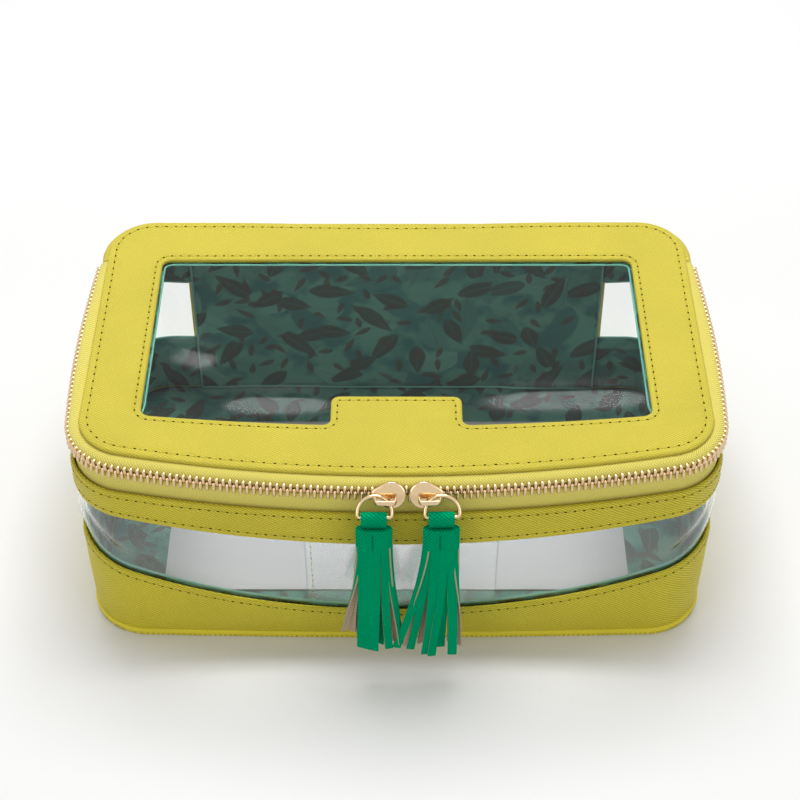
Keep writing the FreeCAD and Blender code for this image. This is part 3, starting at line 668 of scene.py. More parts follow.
def printed_lining():
    """Lining cloth with its leaf print and a fine weave."""
    material, wires, shader = new_material("printed_lining", roughness=0.6, specular_ior_level=0.2)
    leaves = wires.group("leaf_print", {"Vector": wires.place("UV"), "Ground": colour("lining_ground"),
                                        "Leaf": colour("lining_leaf"), "Sprig": colour("lining_sprig")})
    wires.feed(shader.inputs["Base Color"], leaves["Color"])
    bump(wires, shader, leaves["Height"], 0.15, 0.0002)
    return material


def pale_sheet():
    """Loose sheet on the inside floor, faintly uneven."""
    face = colour("insert")
    material, wires, shader, cloud = clouded("pale_sheet", shade(0.93, face), face, 30.0, 4.0, roughness=0.45,
                                             specular_ior_level=0.4)
    bump(wires, shader, cloud, 0.1, 0.001)
    return material


def make_materials():
    """All finishes of the bag, by name."""
    cross_hatch_group()
    weave_group()
    leaf_print_group()
    wall, edge = colour("wall_leather"), colour("lining_edge")
    return {
        "leather": hatched_leather("hatched_leather", colour("leather"), colour("leather_pit"),
                                   pitch=0.95, roughness=0.42, strength=1.0, gloss=0.25),
        "wall_leather": hatched_leather("wall_leather", wall, (0.30, 0.245, 0.004, 1),
                                        pitch=1.15, roughness=0.4, strength=1.5, gloss=0.3),
        "welt": hatched_leather("welt_leather", wall, (0.62, 0.52, 0.02, 1),
                                pitch=0.8, roughness=0.42, strength=0.3, gloss=0.3),
        "tassel": hatched_leather("tassel_leather", colour("tassel"), (0.0, 0.12, 0.045, 1),
                                  pitch=1.0, roughness=0.55, strength=1.2, gloss=0.0),
        "suede": suede(),
        "tape": zip_tape(),
        "thread": sewing_thread(),
        # Painted shade: the stitch holes' near-black colour stands for the shade inside each hole
        "hole": clouded("stitch_hole", (0.010, 0.008, 0.001, 1), (0.035, 0.026, 0.003, 1), 1500.0,
                        roughness=0.9, specular_ior_level=0.1)[0],
        "metal": plated_metal(),
        "clear": clear_sheet("clear_sheet", coat=1.62, blur=0.1),
        "window": clear_sheet("window_sheet", coat=1.17, blur=0.16),
        "lining": printed_lining(),
        "lining_edge": clouded("lining_edge", shade(0.75, edge), edge, 220.0,
                               roughness=0.4, specular_ior_level=0.4)[0],
        "board": clouded("grey_board", (0.22, 0.20, 0.17, 1), (0.36, 0.33, 0.28, 1), 900.0, 4.0,
                         roughness=0.9, specular_ior_level=0.2)[0],
        "insert": pale_sheet(),
    }


def band_profile(thickness, rounding, face_rows, back_rows):
    """Cross-section of a flat band, gone round once from its lower outer edge: a rectangle with quarter-round
    edges. Gives distance out, share of the band's height and added height."""
    steps = 5
    quarter = np.linspace(0, np.pi / 2, steps)
    face = np.linspace(0, 1, face_rows + 2)[1:-1]
    back = np.linspace(1, 0, back_rows + 2)[1:-1]
    bend, rise = rounding * np.cos(quarter), rounding * np.sin(quarter)
    out = [rise - rounding, np.zeros(face_rows), bend - rounding, rounding - thickness - rise,
           np.full(back_rows, -thickness), rounding - thickness - bend]
    share = [np.zeros(steps), face, np.ones(2 * steps), back, np.zeros(steps)]
    added = [rounding - bend, rounding * (1 - 2 * face), rise - rounding, bend - rounding,
             rounding * (1 - 2 * back), rounding - rise]
    return [np.concatenate(part) for part in (out, share, added)]


def wall_band(name, low, high, inset, thickness, puff=0.0, rows=(22, 4)):
    """Band round the wall: its cross-section carried along the wall path between a lower and an upper edge,
    its outer face swelling a little towards the middle."""
    out, share, added = band_profile(thickness, min(0.45 * thickness, 0.6), *rows)
    height = low[:, None] + share * (high - low)[:, None] + added
    face = (out > -0.5 * thickness) * np.sin(np.pi * np.clip(share, 0, 1))
    grid = wall_point(height, np.broadcast_to(out - inset + puff * face, height.shape))
    along = run_length(wall_path(body_plan()))
    across = height + np.where(share >= 1, -out, np.where(share <= 0, out, 0.0))
    across = np.concatenate([across, across[:, :1]], axis=1)
    return capped(surface(name, grid, uv_grid(along[:, None], across), (False, True)), grid.shape[1])


def capped(obj, columns):
    """Close the two open ends of a tube of the given number of columns with one face each."""
    work = bmesh.new()
    work.from_mesh(obj.data)
    points = list(work.verts)
    work.faces.new(points[:columns])
    work.faces.new(points[:-columns - 1:-1])
    work.to_mesh(obj.data)
    work.free()
    return obj


def tube(line, side, radius, turns, height):
    """Points of a thin tube along a line: ovals of the given radius and half height, spanned by a side
    direction and upwards."""
    angle = circle(turns)
    ring = radius * np.cos(angle)[:, None] * side[:, None] + height * np.sin(angle)[:, None] * UP
    return line[:, None] + ring


def plan_direction(normal):
    """Outward directions in plan as directions in space."""
    return raised(normal, 0.0)


def spindle(rows, turns, half_length, profile, wide, high, sag):
    """Small closed shape along its first direction: rings of the given profile, sagging at both ends."""
    t = np.linspace(-1, 1, rows)[:, None]
    angle = circle(turns)
    r = profile(t)
    x = half_length * t + 0 * angle
    y = wide * r * np.cos(angle)
    z = high * r * np.sin(angle) - sag * t ** 2
    return np.stack([x, y, z], axis=2).reshape(-1, 3), grid_faces(rows, turns, (False, True))


def along_line(line, normal, at):
    """Places on a line at given distances, with frames of rows along, side and out."""
    run = run_length(line)
    slope = np.gradient(line, run, axis=0)
    place, along, out = (np.stack([np.interp(at, run, field[:, k]) for k in range(3)], axis=1)
                         for field in (line, slope, normal))
    out = unit(out)
    along = unit(along - out * (along * out).sum(axis=1, keepdims=True))
    return place, np.stack([along, np.cross(out, along), out], axis=1)


def sew(name, body, slot, rows, pitch, thread="thread", lift=0.0, slant=0.1, width=0.3, hole=(0.62, 0.42)):
    """Stitches along rows of (line, outward normals): a thread that dives at both ends, and between one
    thread and the next a flat near-black spindle, painted shade of the stitch hole. hole gives half of a
    hole's length and width."""
    threads, holes = [], []
    for line, normal in rows:
        length = run_length(line)[-1]
        count = max(int(round(length / pitch)), 1)
        step = length / count
        threads.append(along_line(line, normal, (np.arange(count) + 0.5) * step))
        holes.append(along_line(line, normal, np.arange(count + 1) * step))
    place, turn = (np.concatenate(part) for part in zip(*threads))
    points, faces = spindle(rows=6, turns=6, half_length=0.36 * pitch, wide=width, high=width, sag=0.32,
                            profile=lambda t: np.sqrt(np.clip(1 - t ** 4, 0, 1)))
    points[:, 1] += slant * points[:, 0]
    points[:, 2] += lift
    sewn = tidy(copies(name, points, faces, place, turn))
    # Painted shade of the stitch holes: flat dark spindles on the surface between the threads
    place, turn = (np.concatenate(part) for part in zip(*holes))
    points, faces = spindle(rows=3, turns=7, half_length=hole[0], wide=hole[1], high=0.14, sag=0.0,
                            profile=lambda t: np.sqrt(1 - t ** 2))
    pricked = tidy(copies(name + "_holes", points, faces, place, turn))
    dress(sewn, body, slot, thread)
    dress(pricked, body, slot, "hole")


def wall_line(height, out, trim=2):
    """Line round the wall at given heights with its outward directions; trim drops points at both ends."""
    line = wall_point(height[:, None], np.full((len(height), 1), out))[:, 0]
    normal = plan_direction(outward(wall_path(body_plan())))
    return line[trim:len(line) - trim], normal[trim:len(line) - trim]


def lower_edge(path):
    """Height of the lower band's top along a wall path: a swoop in front that levels off towards the rear."""
    level = np.clip((path[:, 1] + 25) / 80, 0, 1)
    level = level ** 2 * (3 - 2 * level)
    middle, rise, rear = 21.0, 26.5, 34.0
    return swoop(path[:, 0], middle, rise) * (1 - level) + rear * level


def upper_edge(path):
    """Height of the upper band's swooping bottom along a wall path."""
    return swoop(path[:, 0], middle=69.3, rise=4.5)


class BuildFinishes(bpy.types.Operator):
    """Make all materials, and give the CAD parts that stay their own."""

    bl_idname = "tile_bag.finishes"
    bl_label = "Finishes"

    def execute(self, context):
        FINISH.update(make_materials())
        kept = {"base_stiffener": "board", "back_stiffener": "board", "zip_end_stops": "metal",
                "floor_insert": "insert"}
        for node, name in kept.items():
            slots = frame["nodes"][node].data.materials
            slots.clear()
            slots.append(FINISH[name])
        return {"FINISHED"}


class BuildBands(bpy.types.Operator):
    """The two leather bands round the walls, with their stitch rows."""

    bl_idname = "tile_bag.bands"
    bl_label = "Leather bands"

    def execute(self, context):
        margin, pitch = size("stitch_margin"), size("stitch_pitch")
        path = wall_path(body_plan())
        low, top = lower_edge(path), upper_edge(path)
        foot = np.full(len(low), WELT_TOP)
        crest = np.full(len(low), BODY_HIGH[2])
        lower = wall_band("lower_leather_band", foot, low, 0.0, size("leather"), puff=0.35)
        upper = wall_band("upper_leather_band", top, crest, 0.0, size("leather"), puff=0.3)
        dress(lower, "case", "leather", "wall_leather", "lower_band")
        dress(upper, "case", "leather", "wall_leather", "upper_band")
        rows = [wall_line(low - margin, 0.18), wall_line(top + margin, 0.2), wall_line(crest - margin, 0.2)]
        sew("band_stitches", "case", "leather", rows, pitch, hole=(0.85, 0.4))
        return {"FINISHED"}


class BuildClearWall(bpy.types.Operator):
    """The clear sheet of the walls, swelling between the bands and buckled at the front corners, and its
    patch."""

    bl_idname = "tile_bag.clear_wall"
    bl_label = "Clear walls"

    def execute(self, context):
        rows, inset, seam, lid_front = 60, 1.55, 1, 85.0
        held, ease, calm, wave = 15, 9, 0.55, 0.45
        path = wall_path(body_plan(), 0.0, SHEET_END)
        along = run_length(path)
        middle = along[-1] / 2
        low, top = lower_edge(path), upper_edge(path)
        share = np.linspace(0, 1, rows)
        height = WALL_LOW[2] + share * (WALL_HIGH[2] - WALL_LOW[2]) + 0 * along[:, None]
        window = np.clip((height - low[:, None] - seam) / (top - low - 2 * seam)[:, None], 0, 1)
        free = np.clip((np.minimum(along, along[-1] - along) - held) / ease, 0, 1)[:, None]
        swell = free * np.sin(np.pi * window) ** 1.5
        front = np.clip(-path[:, 1] / lid_front, 0, 1)[:, None]
        out = -inset + size("wall_bulge") * swell * (1 - calm * front ** 4)
        out += wave * swell * ripple(along[:, None] / 22.0, height / 18.0, seed=4)
        for side in (-1, 1):
            out += buckle(along - middle, height, side) * size("crease_depth") * swell
        sheet = thicken(surface("clear_wall_sheet", wall_point(height, out, SHEET_END)), 0.5)
        dress(sheet, "case", "clear", "clear", "clear_wall")
        self.patch()
        return {"FINISHED"}

    def patch(self):
        """Clear patch inside the front sheet, sewn along its left edge."""
        middle, half, low, high = 2.0, 40.0, 20.0, 68.0
        inset, pinch, wave = 2.55, 0.4, 0.12
        x, z = np.meshgrid(np.linspace(middle - half, middle + half, 60), np.linspace(low, high, 24),
                           indexing="ij")
        edge = np.exp(-((1 - np.abs(x - middle) / half) / 0.05) ** 2)
        out = -inset - pinch * edge + wave * ripple(x / 9, z / 9, seed=8)
        grid = front_wall(x, z, out)
        patch = thicken(surface("clear_patch", grid), 0.35)
        dress(patch, "case", "clear", "clear", "card_pocket")
        line = grid[2]
        normal = np.tile([0.0, -1.0, 0.0], (len(line), 1))
        rows = [(line + normal * 0.3, normal)]
        sew("patch_stitches", "case", "clear", rows, 4.2, width=0.1, hole=(0.5, 0.3))


def front_wall(x, z, out):
    """Points of the front wall over sideways places and heights: the base's arc goes over to the body's arc
    up to the knee; out moves outwards."""
    bows = [plan.radius - plan.front - np.sqrt(plan.radius ** 2 - x ** 2)
            for plan in (base_plan(), body_plan())]
    share = np.clip(z / size("wall_knee"), 0, 1)
    return np.stack([x, bows[0] * (1 - share) + bows[1] * share - out, z], axis=2)


def buckle(across, height, side):
    """Slanting fold at a front corner: a valley, steep above and gentle below, along a line that falls from
    the corner towards the middle of the front."""
    gentle, steep, crest, crease = 9.0, 4.5, 0.15, 1.1
    start, end = np.array([side * 150.0, 74.0]), np.array([side * 97.0, 30.0])
    reach = np.linalg.norm(end - start)
    line = (end - start) / reach
    x, z = across[:, None] - start[0], height - start[1]
    share = np.clip((x * line[0] + z * line[1]) / reach, 0, 1)
    below = (z * line[0] - x * line[1]) * side
    valley = np.exp(-np.abs(below) / np.where(below > 0, gentle, steep))
    return np.sin(np.pi * share) ** 0.7 * (crest * np.exp(-(below / crease) ** 2) - valley)


class BuildLinings(bpy.types.Operator):
    """Printed linings of the walls, the back and the floor, with their paler turned edges."""

    bl_idname = "tile_bag.linings"
    bl_label = "Linings"

    def execute(self, context):
        inset, cloth, proud = 2.35, 0.5, 1.5
        path = wall_path(body_plan())
        low, top = lower_edge(path) + proud, upper_edge(path) - proud
        foot = np.full(len(low), WELT_TOP + 0.3)
        crest = np.full(len(low), BODY_HIGH[2])
        lower = wall_band("lower_lining", foot, low, inset, cloth, rows=(10, 3))
        upper = wall_band("upper_lining", top, crest, inset, cloth, rows=(6, 3))
        dress(lower, "case", "lining", "lining", "lower_band_lining")
        dress(upper, "case", "lining", "lining", "upper_band_lining")
        for name, edge in (("lower_lining_edge", low), ("upper_lining_edge", top)):
            line, side = wall_line(edge, -2.6, trim=1)
            ring = tube(line, side, radius=0.45, turns=8, height=0.6)
            roll = tidy(surface(name, ring, None, (False, True)))
            dress(roll, "case", "lining", "lining_edge")
        self.floor()
        self.back()
        return {"FINISHED"}

    def floor(self):
        """Floor lining: the base outline shrunk step by step towards its middle, a little wavy."""
        level, wave, middle = 3.75, 0.1, np.array([0.0, -2.0])
        loop = wall_path(base_plan(), 3.0, 0.0)[:-1]
        share = np.linspace(1, 0, 24)[:, None]
        plan = loop[:, None] * share + middle * (1 - share)
        height = level + wave * ripple(plan[..., 0] / 14, plan[..., 1] / 14, seed=11)
        uv = np.concatenate([plan, plan[:1]])
        obj = tidy(surface("floor_lining", raised(plan, height), uv, (True, False)))
        dress(thicken(obj, 0.4), "case", "lining", "lining", "base_lining")

    def back(self):
        """Back lining: an upright sheet, slightly wavy, with a paler edge at both sides and along the
        floor."""
        half, low, high, depth, wave = 96.6, 4.2, 101.4, 75.75, 0.22
        x, z = np.meshgrid(np.linspace(-half, half, 60), np.linspace(low, high, 34), indexing="ij")
        y = depth - wave * (1 + ripple(x / 24, z / 24, seed=3))
        grid = np.stack([x, y, z], axis=2)
        obj = surface("back_lining_cloth", grid, uv_grid(x + 31.0, z + 57.0))
        dress(thicken(obj, 0.45), "case", "lining", "lining", "back_lining")
        rim = np.concatenate([grid[0, ::-1], grid[1:-1, 0], grid[-1]])
        side = np.tile([0.0, 1.0, 0.0], (len(rim), 1))
        flat = np.cross(unit(np.gradient(rim, axis=0)), side)
        angle = circle(8)
        ring = 0.4 * np.cos(angle)[:, None] * side[:, None] + 0.45 * np.sin(angle)[:, None] * flat[:, None]
        roll = tidy(surface("back_lining_edge", rim[:, None] + ring, None, (False, True)))
        dress(roll, "case", "lining", "lining_edge")


class BuildBase(bpy.types.Operator):
    """The leather base with the seam lip that runs round it."""

    bl_idname = "tile_bag.base"
    bl_label = "Base"

    def execute(self, context):
        loop = wall_path(base_plan(), 0.0, 0.0, stub=40)[:-1]
        normal = outward(loop, True)
        under, over, turns, thickness = 14, 8, 12, 1.4
        share = np.concatenate([np.linspace(0, 1, under), np.ones(4), np.linspace(1, 0, over)])
        out = np.concatenate([np.zeros(under), [0.35, 0.5, 0.4, 0.1], np.zeros(over)])
        rise = np.concatenate([np.zeros(under), [0.15, 0.6, 1.0, 1.35], np.full(over, thickness)])
        plan = loop[:, None] * share[:, None] + normal[:, None] * out[:, None]
        uv = np.concatenate([plan, plan[:1]])
        plate = tidy(surface("base_leather", raised(plan, rise), uv, (True, False)))
        dress(plate, "case", "leather", "wall_leather", "base_panel")
        line = raised(loop - 0.15 * normal, 2.45)
        ring = tube(line, plan_direction(normal), radius=1.05, turns=turns, height=1.45)
        along = run_length(np.concatenate([loop, loop[:1]]))
        uv = uv_grid(along[:, None], np.linspace(0, 8, turns + 1))
        lip = tidy(surface("base_seam_lip", ring, uv, (True, True)))
        dress(lip, "case", "leather", "welt", "base_welt")
        return {"FINISHED"}


class BuildBack(bpy.types.Operator):
    """The leather back panel and the soft leather hinge that carries the lid."""

    bl_idname = "tile_bag.back"
    bl_label = "Back and hinge"

    def execute(self, context):
        half, low, high = BACK_HIGH[0] + 1.6, BACK_LOW[2] - 0.2, BACK_HIGH[2] - 10.0
        out, share, added = band_profile(thickness=2.0, rounding=0.7, face_rows=24, back_rows=4)
        x = np.linspace(-half, half, 80)
        edge = np.clip((half - np.abs(x)) / 1.2, 0, 1) ** 0.5
        height = low + share * (high - low) + added + 0 * x[:, None]
        puff = 0.5 * np.sin(np.pi * share) * np.cos(0.5 * np.pi * x[:, None] / half)
        depth = BACK_HIGH[1] + (0.75 + out + puff * (out > -1.0)) * np.where(out > -1.0, edge[:, None], 1.0)
        grid = np.stack(np.broadcast_arrays(-x[:, None], depth, height), axis=2)
        uv = uv_grid(x[:, None], np.append(height[0], height[0, 0]))
        panel = tidy(capped(surface("back_leather", grid, uv, (False, True)), grid.shape[1]))
        dress(panel, "case", "leather", "wall_leather", "back_panel")
        up = np.linspace(low + 5, high - 3, 60)
        normal = np.tile([0.0, 1.0, 0.0], (len(up), 1))
        rows = []
        for seam in (half - 3.4, 3.4 - half):
            line = np.stack(np.broadcast_arrays(seam, BACK_HIGH[1] + 0.98, up), axis=1)
            rows.append((line, normal))
        sew("back_stitches", "case", "leather", rows, size("stitch_pitch"))
        self.hinge()
        return {"FINISHED"}

    def hinge(self):
        """Hinge leather: from zip end to zip end round the back; its foot lies on the walls' outline and its
        top turns in to the lid's edge."""
        zip_end, trim = 54.0, slice(6, -6)
        body, lid = back_path(body_plan(), zip_end), back_path(lid_plan(), zip_end)
        rise = np.array([86.9, 87.3, 89.5, 92.0, 94.5, 97.0, 99.0, 100.8, 102.2, 103.1, 103.6, 103.9])
        turn_in = np.array([0, 0, 0, 0, 0, 0.0, 0.03, 0.1, 0.24, 0.46, 0.74, 1.05])
        out = np.array([0.5, 0.85, 0.95, 0.95, 0.9, 0.85, 0.8, 0.75, 0.7, 0.6, 0.4, 0.2])
        normal = outward(body)
        wrap = np.clip((body[:, 1] - 55) / 20, 0, 1)[:, None]
        plan = body[:, None] * (1 - turn_in[:, None]) + lid[:, None] * turn_in[:, None]
        plan = plan + normal[:, None] * (out * wrap - 1.75 * (1 - wrap))[..., None]
        grid = raised(plan, rise)
        uv = uv_grid(run_length(body)[:, None], rise * 1.4)
        strip = thicken(surface("hinge_leather", grid, uv), 0.9)
        strip.data.materials.append(FINISH["leather"])
        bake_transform(strip)
        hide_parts("hinge_strip")
        facing = plan_direction(normal)[trim]
        row = grid[trim, 3] + 0.05 * facing
        sew("hinge_stitches", "case", "leather", [(row, facing)], size("stitch_pitch"))


def back_path(plan, from_y):
    """Line in plan from the right side round the back to the left side: a short straight, a round corner, the
    back, and the same again."""
    side_count, corner_count, back_count = 10, 26, 120
    half, corner = plan.half, plan.corner_back
    corner_x, corner_y = half - corner, plan.back - corner
    start = min(from_y, corner_y) - 2
    return np.concatenate([
        straight((half, start), (half, corner_y), side_count),
        arc((corner_x, corner_y), corner, 0, np.pi / 2, corner_count),
        straight((corner_x, plan.back), (-corner_x, plan.back), back_count),
        arc((-corner_x, corner_y), corner, np.pi / 2, np.pi, corner_count),
        straight((-half, corner_y), (-half, start), side_count),
    ])


def chain_path():
    """Line of the zip in plan: the body outline moved in to the chain, from one zip end to the other."""
    return front_path(body_plan(), CHAIN_INSET, TEETH_HIGH[1], ZIP_COUNTS)


def side_bow(line):
    """How far the zip bows out at each point of its line: one half wave along each side, nothing in front."""
    beside = np.clip((np.abs(line[:, 0]) - 112) / 20, 0, 1)
    share = np.clip((line[:, 1] + 72) / (TEETH_HIGH[1] + 72), 0, 1)
    return size("side_bow") * beside * np.sin(np.pi * share)


class BuildZip(bpy.types.Operator):
    """The two woven tapes of the zip and its two rows of locking teeth."""

    bl_idname = "tile_bag.zip"
    bl_label = "Zip"

    def execute(self, context):
        line, lid = chain_path(), front_path(lid_plan(), 0.0, TEETH_HIGH[1], ZIP_COUNTS)
        normal = outward(line)
        along = run_length(line)[:, None]
        bow = side_bow(line)[:, None]
        self.lower_tape(line, normal, along, bow)
        self.upper_tape(line, lid, normal, along, bow)
        self.teeth("upper_teeth", "lid", "upper_zip_teeth", 1)
        self.teeth("lower_teeth", "case", "lower_zip_teeth", -1)
        return {"FINISHED"}

    def lower_tape(self, line, normal, along, bow):
        """Tape below the chain: hangs from the chain's slit, hollow across, rippled and bowed at the
        sides."""
        drop = np.linspace(0, 1, 14)[::-1]
        top = CHAIN_MIDDLE - TAPE_GAP
        height = top - drop * (top - TAPE_FOOT)
        hollow, wave = 0.35, 0.15
        out = TAPE_PROUD - hollow * np.sin(np.pi * drop)
        out = out + wave * ripple(along / 30, height / 9 + 0 * along, seed=21)
        out = out + bow * np.clip(1 - 1.8 * drop, 0, 1)
        grid = raised(line[:, None] + normal[:, None] * out[..., None], height)
        tape = thicken(surface("lower_tape_weave", grid, uv_grid(along, height)), TAPE_CLOTH)
        dress(tape, "case", "tape", "tape", "lower_zip_tape")

    def upper_tape(self, line, lid, normal, along, bow):
        """Tape above the chain: climbs from the chain's slit and turns in under the lid's edge."""
        rise = np.array([CHAIN_MIDDLE + TAPE_GAP, 99.8, 100.6, 101.4, 102.1, 102.7, 103.15, 103.45,
                         103.55, 103.6])
        share = np.array([0, 0, 0.02, 0.07, 0.18, 0.36, 0.58, 0.82, 1.1, 1.6])
        plan = line[:, None] * (1 - share[:, None]) + lid[:, None] * share[:, None]
        plan = plan + TAPE_PROUD * normal[:, None]
        plan = plan + normal[:, None] * (bow * np.clip(1 - share, 0, 1))[..., None]
        across = run_length(np.column_stack([share * 3.5, rise]))
        grid, uv = raised(plan, rise), uv_grid(along, across + UPPER_WEAVE)
        tape = thicken(surface("upper_tape_weave", grid, uv), TAPE_CLOTH)
        dress(tape, "lid", "tape", "tape", "upper_zip_tape")

    def teeth(self, name, body, node, side):
        """A row of teeth: a narrow leg clamped on the tape and a wider head that reaches past the chain's
        middle, each row half a pitch from the other; between the sliders the rows part."""
        line = chain_path()
        run = run_length(line)
        count = int(run[-1] // size("tooth_pitch"))
        at = (np.arange(count) + 0.5 + 0.25 * side) * run[-1] / count
        path = raised(line + outward(line) * side_bow(line)[:, None], CHAIN_MIDDLE)
        place, turn = along_line(path, plan_direction(outward(line)), at)
        meeting, half_gap, parted = 4.4, 4.2, 0.75
        gape = np.exp(-((place[:, 0] - meeting) / half_gap) ** 4) * (place[:, 1] < 0)
        place[:, 2] += side * parted * gape
        reach = np.array([-0.62, -0.55, -0.1, 0.45, 1.0, 2.9, 3.2, 3.25])
        wide = np.array([0.0, 0.5, 0.64, 0.62, 0.58, 0.66, 0.56, 0.0])
        deep = np.array([0.0, 0.7, 0.95, 1.0, 1.15, 1.3, 1.15, 0.0])
        across, through = squared(circle(8) + np.pi / 8, 0.6)
        x = wide[:, None] * across * 1.15
        depth = deep[:, None] * through * 1.1 + 0.1
        points = np.stack(np.broadcast_arrays(x, side * reach[:, None], depth), axis=2).reshape(-1, 3)
        row = tidy(copies(name, points, grid_faces(8, 8, (False, True)), place, turn))
        dress(row, body, "gold", "metal", node)


def window_front(x):
    """Depth of the window's bowed front edge at each point across."""
    bow = 6.2
    return WINDOW_FRONT - bow * np.clip(1 - (x / WINDOW_HALF) ** 2, 0, 1)


def window_loop():
    """Edge of the lid's window, anticlockwise from the middle of the back: a rectangle with small round
    corners and, in the front, the tab with round corners and hollow fillets at its foot."""
    half, back, front, corner = WINDOW_HALF, 50.0, WINDOW_FRONT, 4.0
    tab, top, fillet, bend = 27.0, -40.0, 3.2, 3.6
    side_count, corner_count = WALL_COUNTS[:2]
    foot_count, tab_count, top_count, bend_count = 52, 14, 56, 8
    x, down = half - corner, -np.pi / 2
    loop = np.concatenate([
        straight((0, back), (-x, back), LID_STUB),
        arc((-x, back - corner), corner, np.pi / 2, np.pi, corner_count),
        straight((-half, back - corner), (-half, front + corner), side_count),
        arc((-x, front + corner), corner, np.pi, 1.5 * np.pi, corner_count),
        straight((-x, front), (-tab - fillet, front), foot_count),
        arc((-tab - fillet, front + fillet), fillet, down, 0, bend_count),
        straight((-tab, front + fillet), (-tab, top - bend), tab_count),
        arc((bend - tab, top - bend), bend, np.pi, np.pi / 2, bend_count),
        straight((bend - tab, top), (tab - bend, top), top_count),
        arc((tab - bend, top - bend), bend, np.pi / 2, 0, bend_count),
        straight((tab, top - bend), (tab, front + fillet), tab_count),
        arc((tab + fillet, front + fillet), fillet, np.pi, 1.5 * np.pi, bend_count),
        straight((tab + fillet, front), (x, front), foot_count),
        arc((x, front + corner), corner, down, 0, corner_count),
        straight((half, front + corner), (half, back - corner), side_count),
        arc((x, back - corner), corner, 0, np.pi / 2, corner_count),
        straight((x, back), (0, back), LID_STUB),
    ])
    stretch = np.clip((top - bend - loop[:, 1]) / (top - bend - front - fillet), 0, 1)
    loop[:, 1] += stretch * (window_front(loop[:, 0]) - front)
    return loop


def gather(inner, into):
    """Loop a little outside the window's edge, on which the columns of the tab are spread along the tab's
    foot so that none crosses another."""
    gap, foot = 4.9, 30.2
    loop = inner + into * gap
    tab = np.flatnonzero((np.abs(inner[:, 0]) < foot + 0.1) & (inner[:, 1] < 0))
    last = len(tab) - 1
    x = np.interp(np.arange(last + 1), [0, 8, 30, last - 30, last - 8, last],
                  [-foot, -23.6, -13, 13, 23.6, foot])
    loop[tab] = np.column_stack([x, window_front(x) - gap])
    return loop


def unrolled(inset, height):
    """Insets that a bent profile would have if it were laid flat from its first point."""
    return inset[0] - np.pad(np.hypot(np.diff(inset), np.diff(height)).cumsum(), (1, 0))


def lid_wave(x, y):
    """Height of the lid leather's slight waviness, with a sag along the middle of its back edge."""
    back, reach, half, drop, wave = 78, 16, 85, 1.3, 0.3
    sag = np.exp(-((y - back) / reach) ** 2) * np.cos(np.clip(x / half, -1, 1) * np.pi / 2) ** 2
    return wave * ripple(x / 38, y / 38, seed=17) - drop * sag


# Swells of the lid's window: middle, reach along and across, turn, rise
WINDOW_SWELLS = (((-49, -39.5), (21, 6.0), 0.0, 1.6), ((71, -36), (34, 6.5), 0.04, 1.7),
                 ((-87, -9.5), (11, 7.0), -0.45, 1.7))


def swell(x, y, place, reach, turn):
    """Long soft swell between 0 and 1: flat-topped along its length, a bell across it."""
    along = (x - place[0]) * np.cos(turn) + (y - place[1]) * np.sin(turn)
    off = (y - place[1]) * np.cos(turn) - (x - place[0]) * np.sin(turn)
    return np.exp(-(along / reach[0]) ** 4 - (off / reach[1]) ** 2)


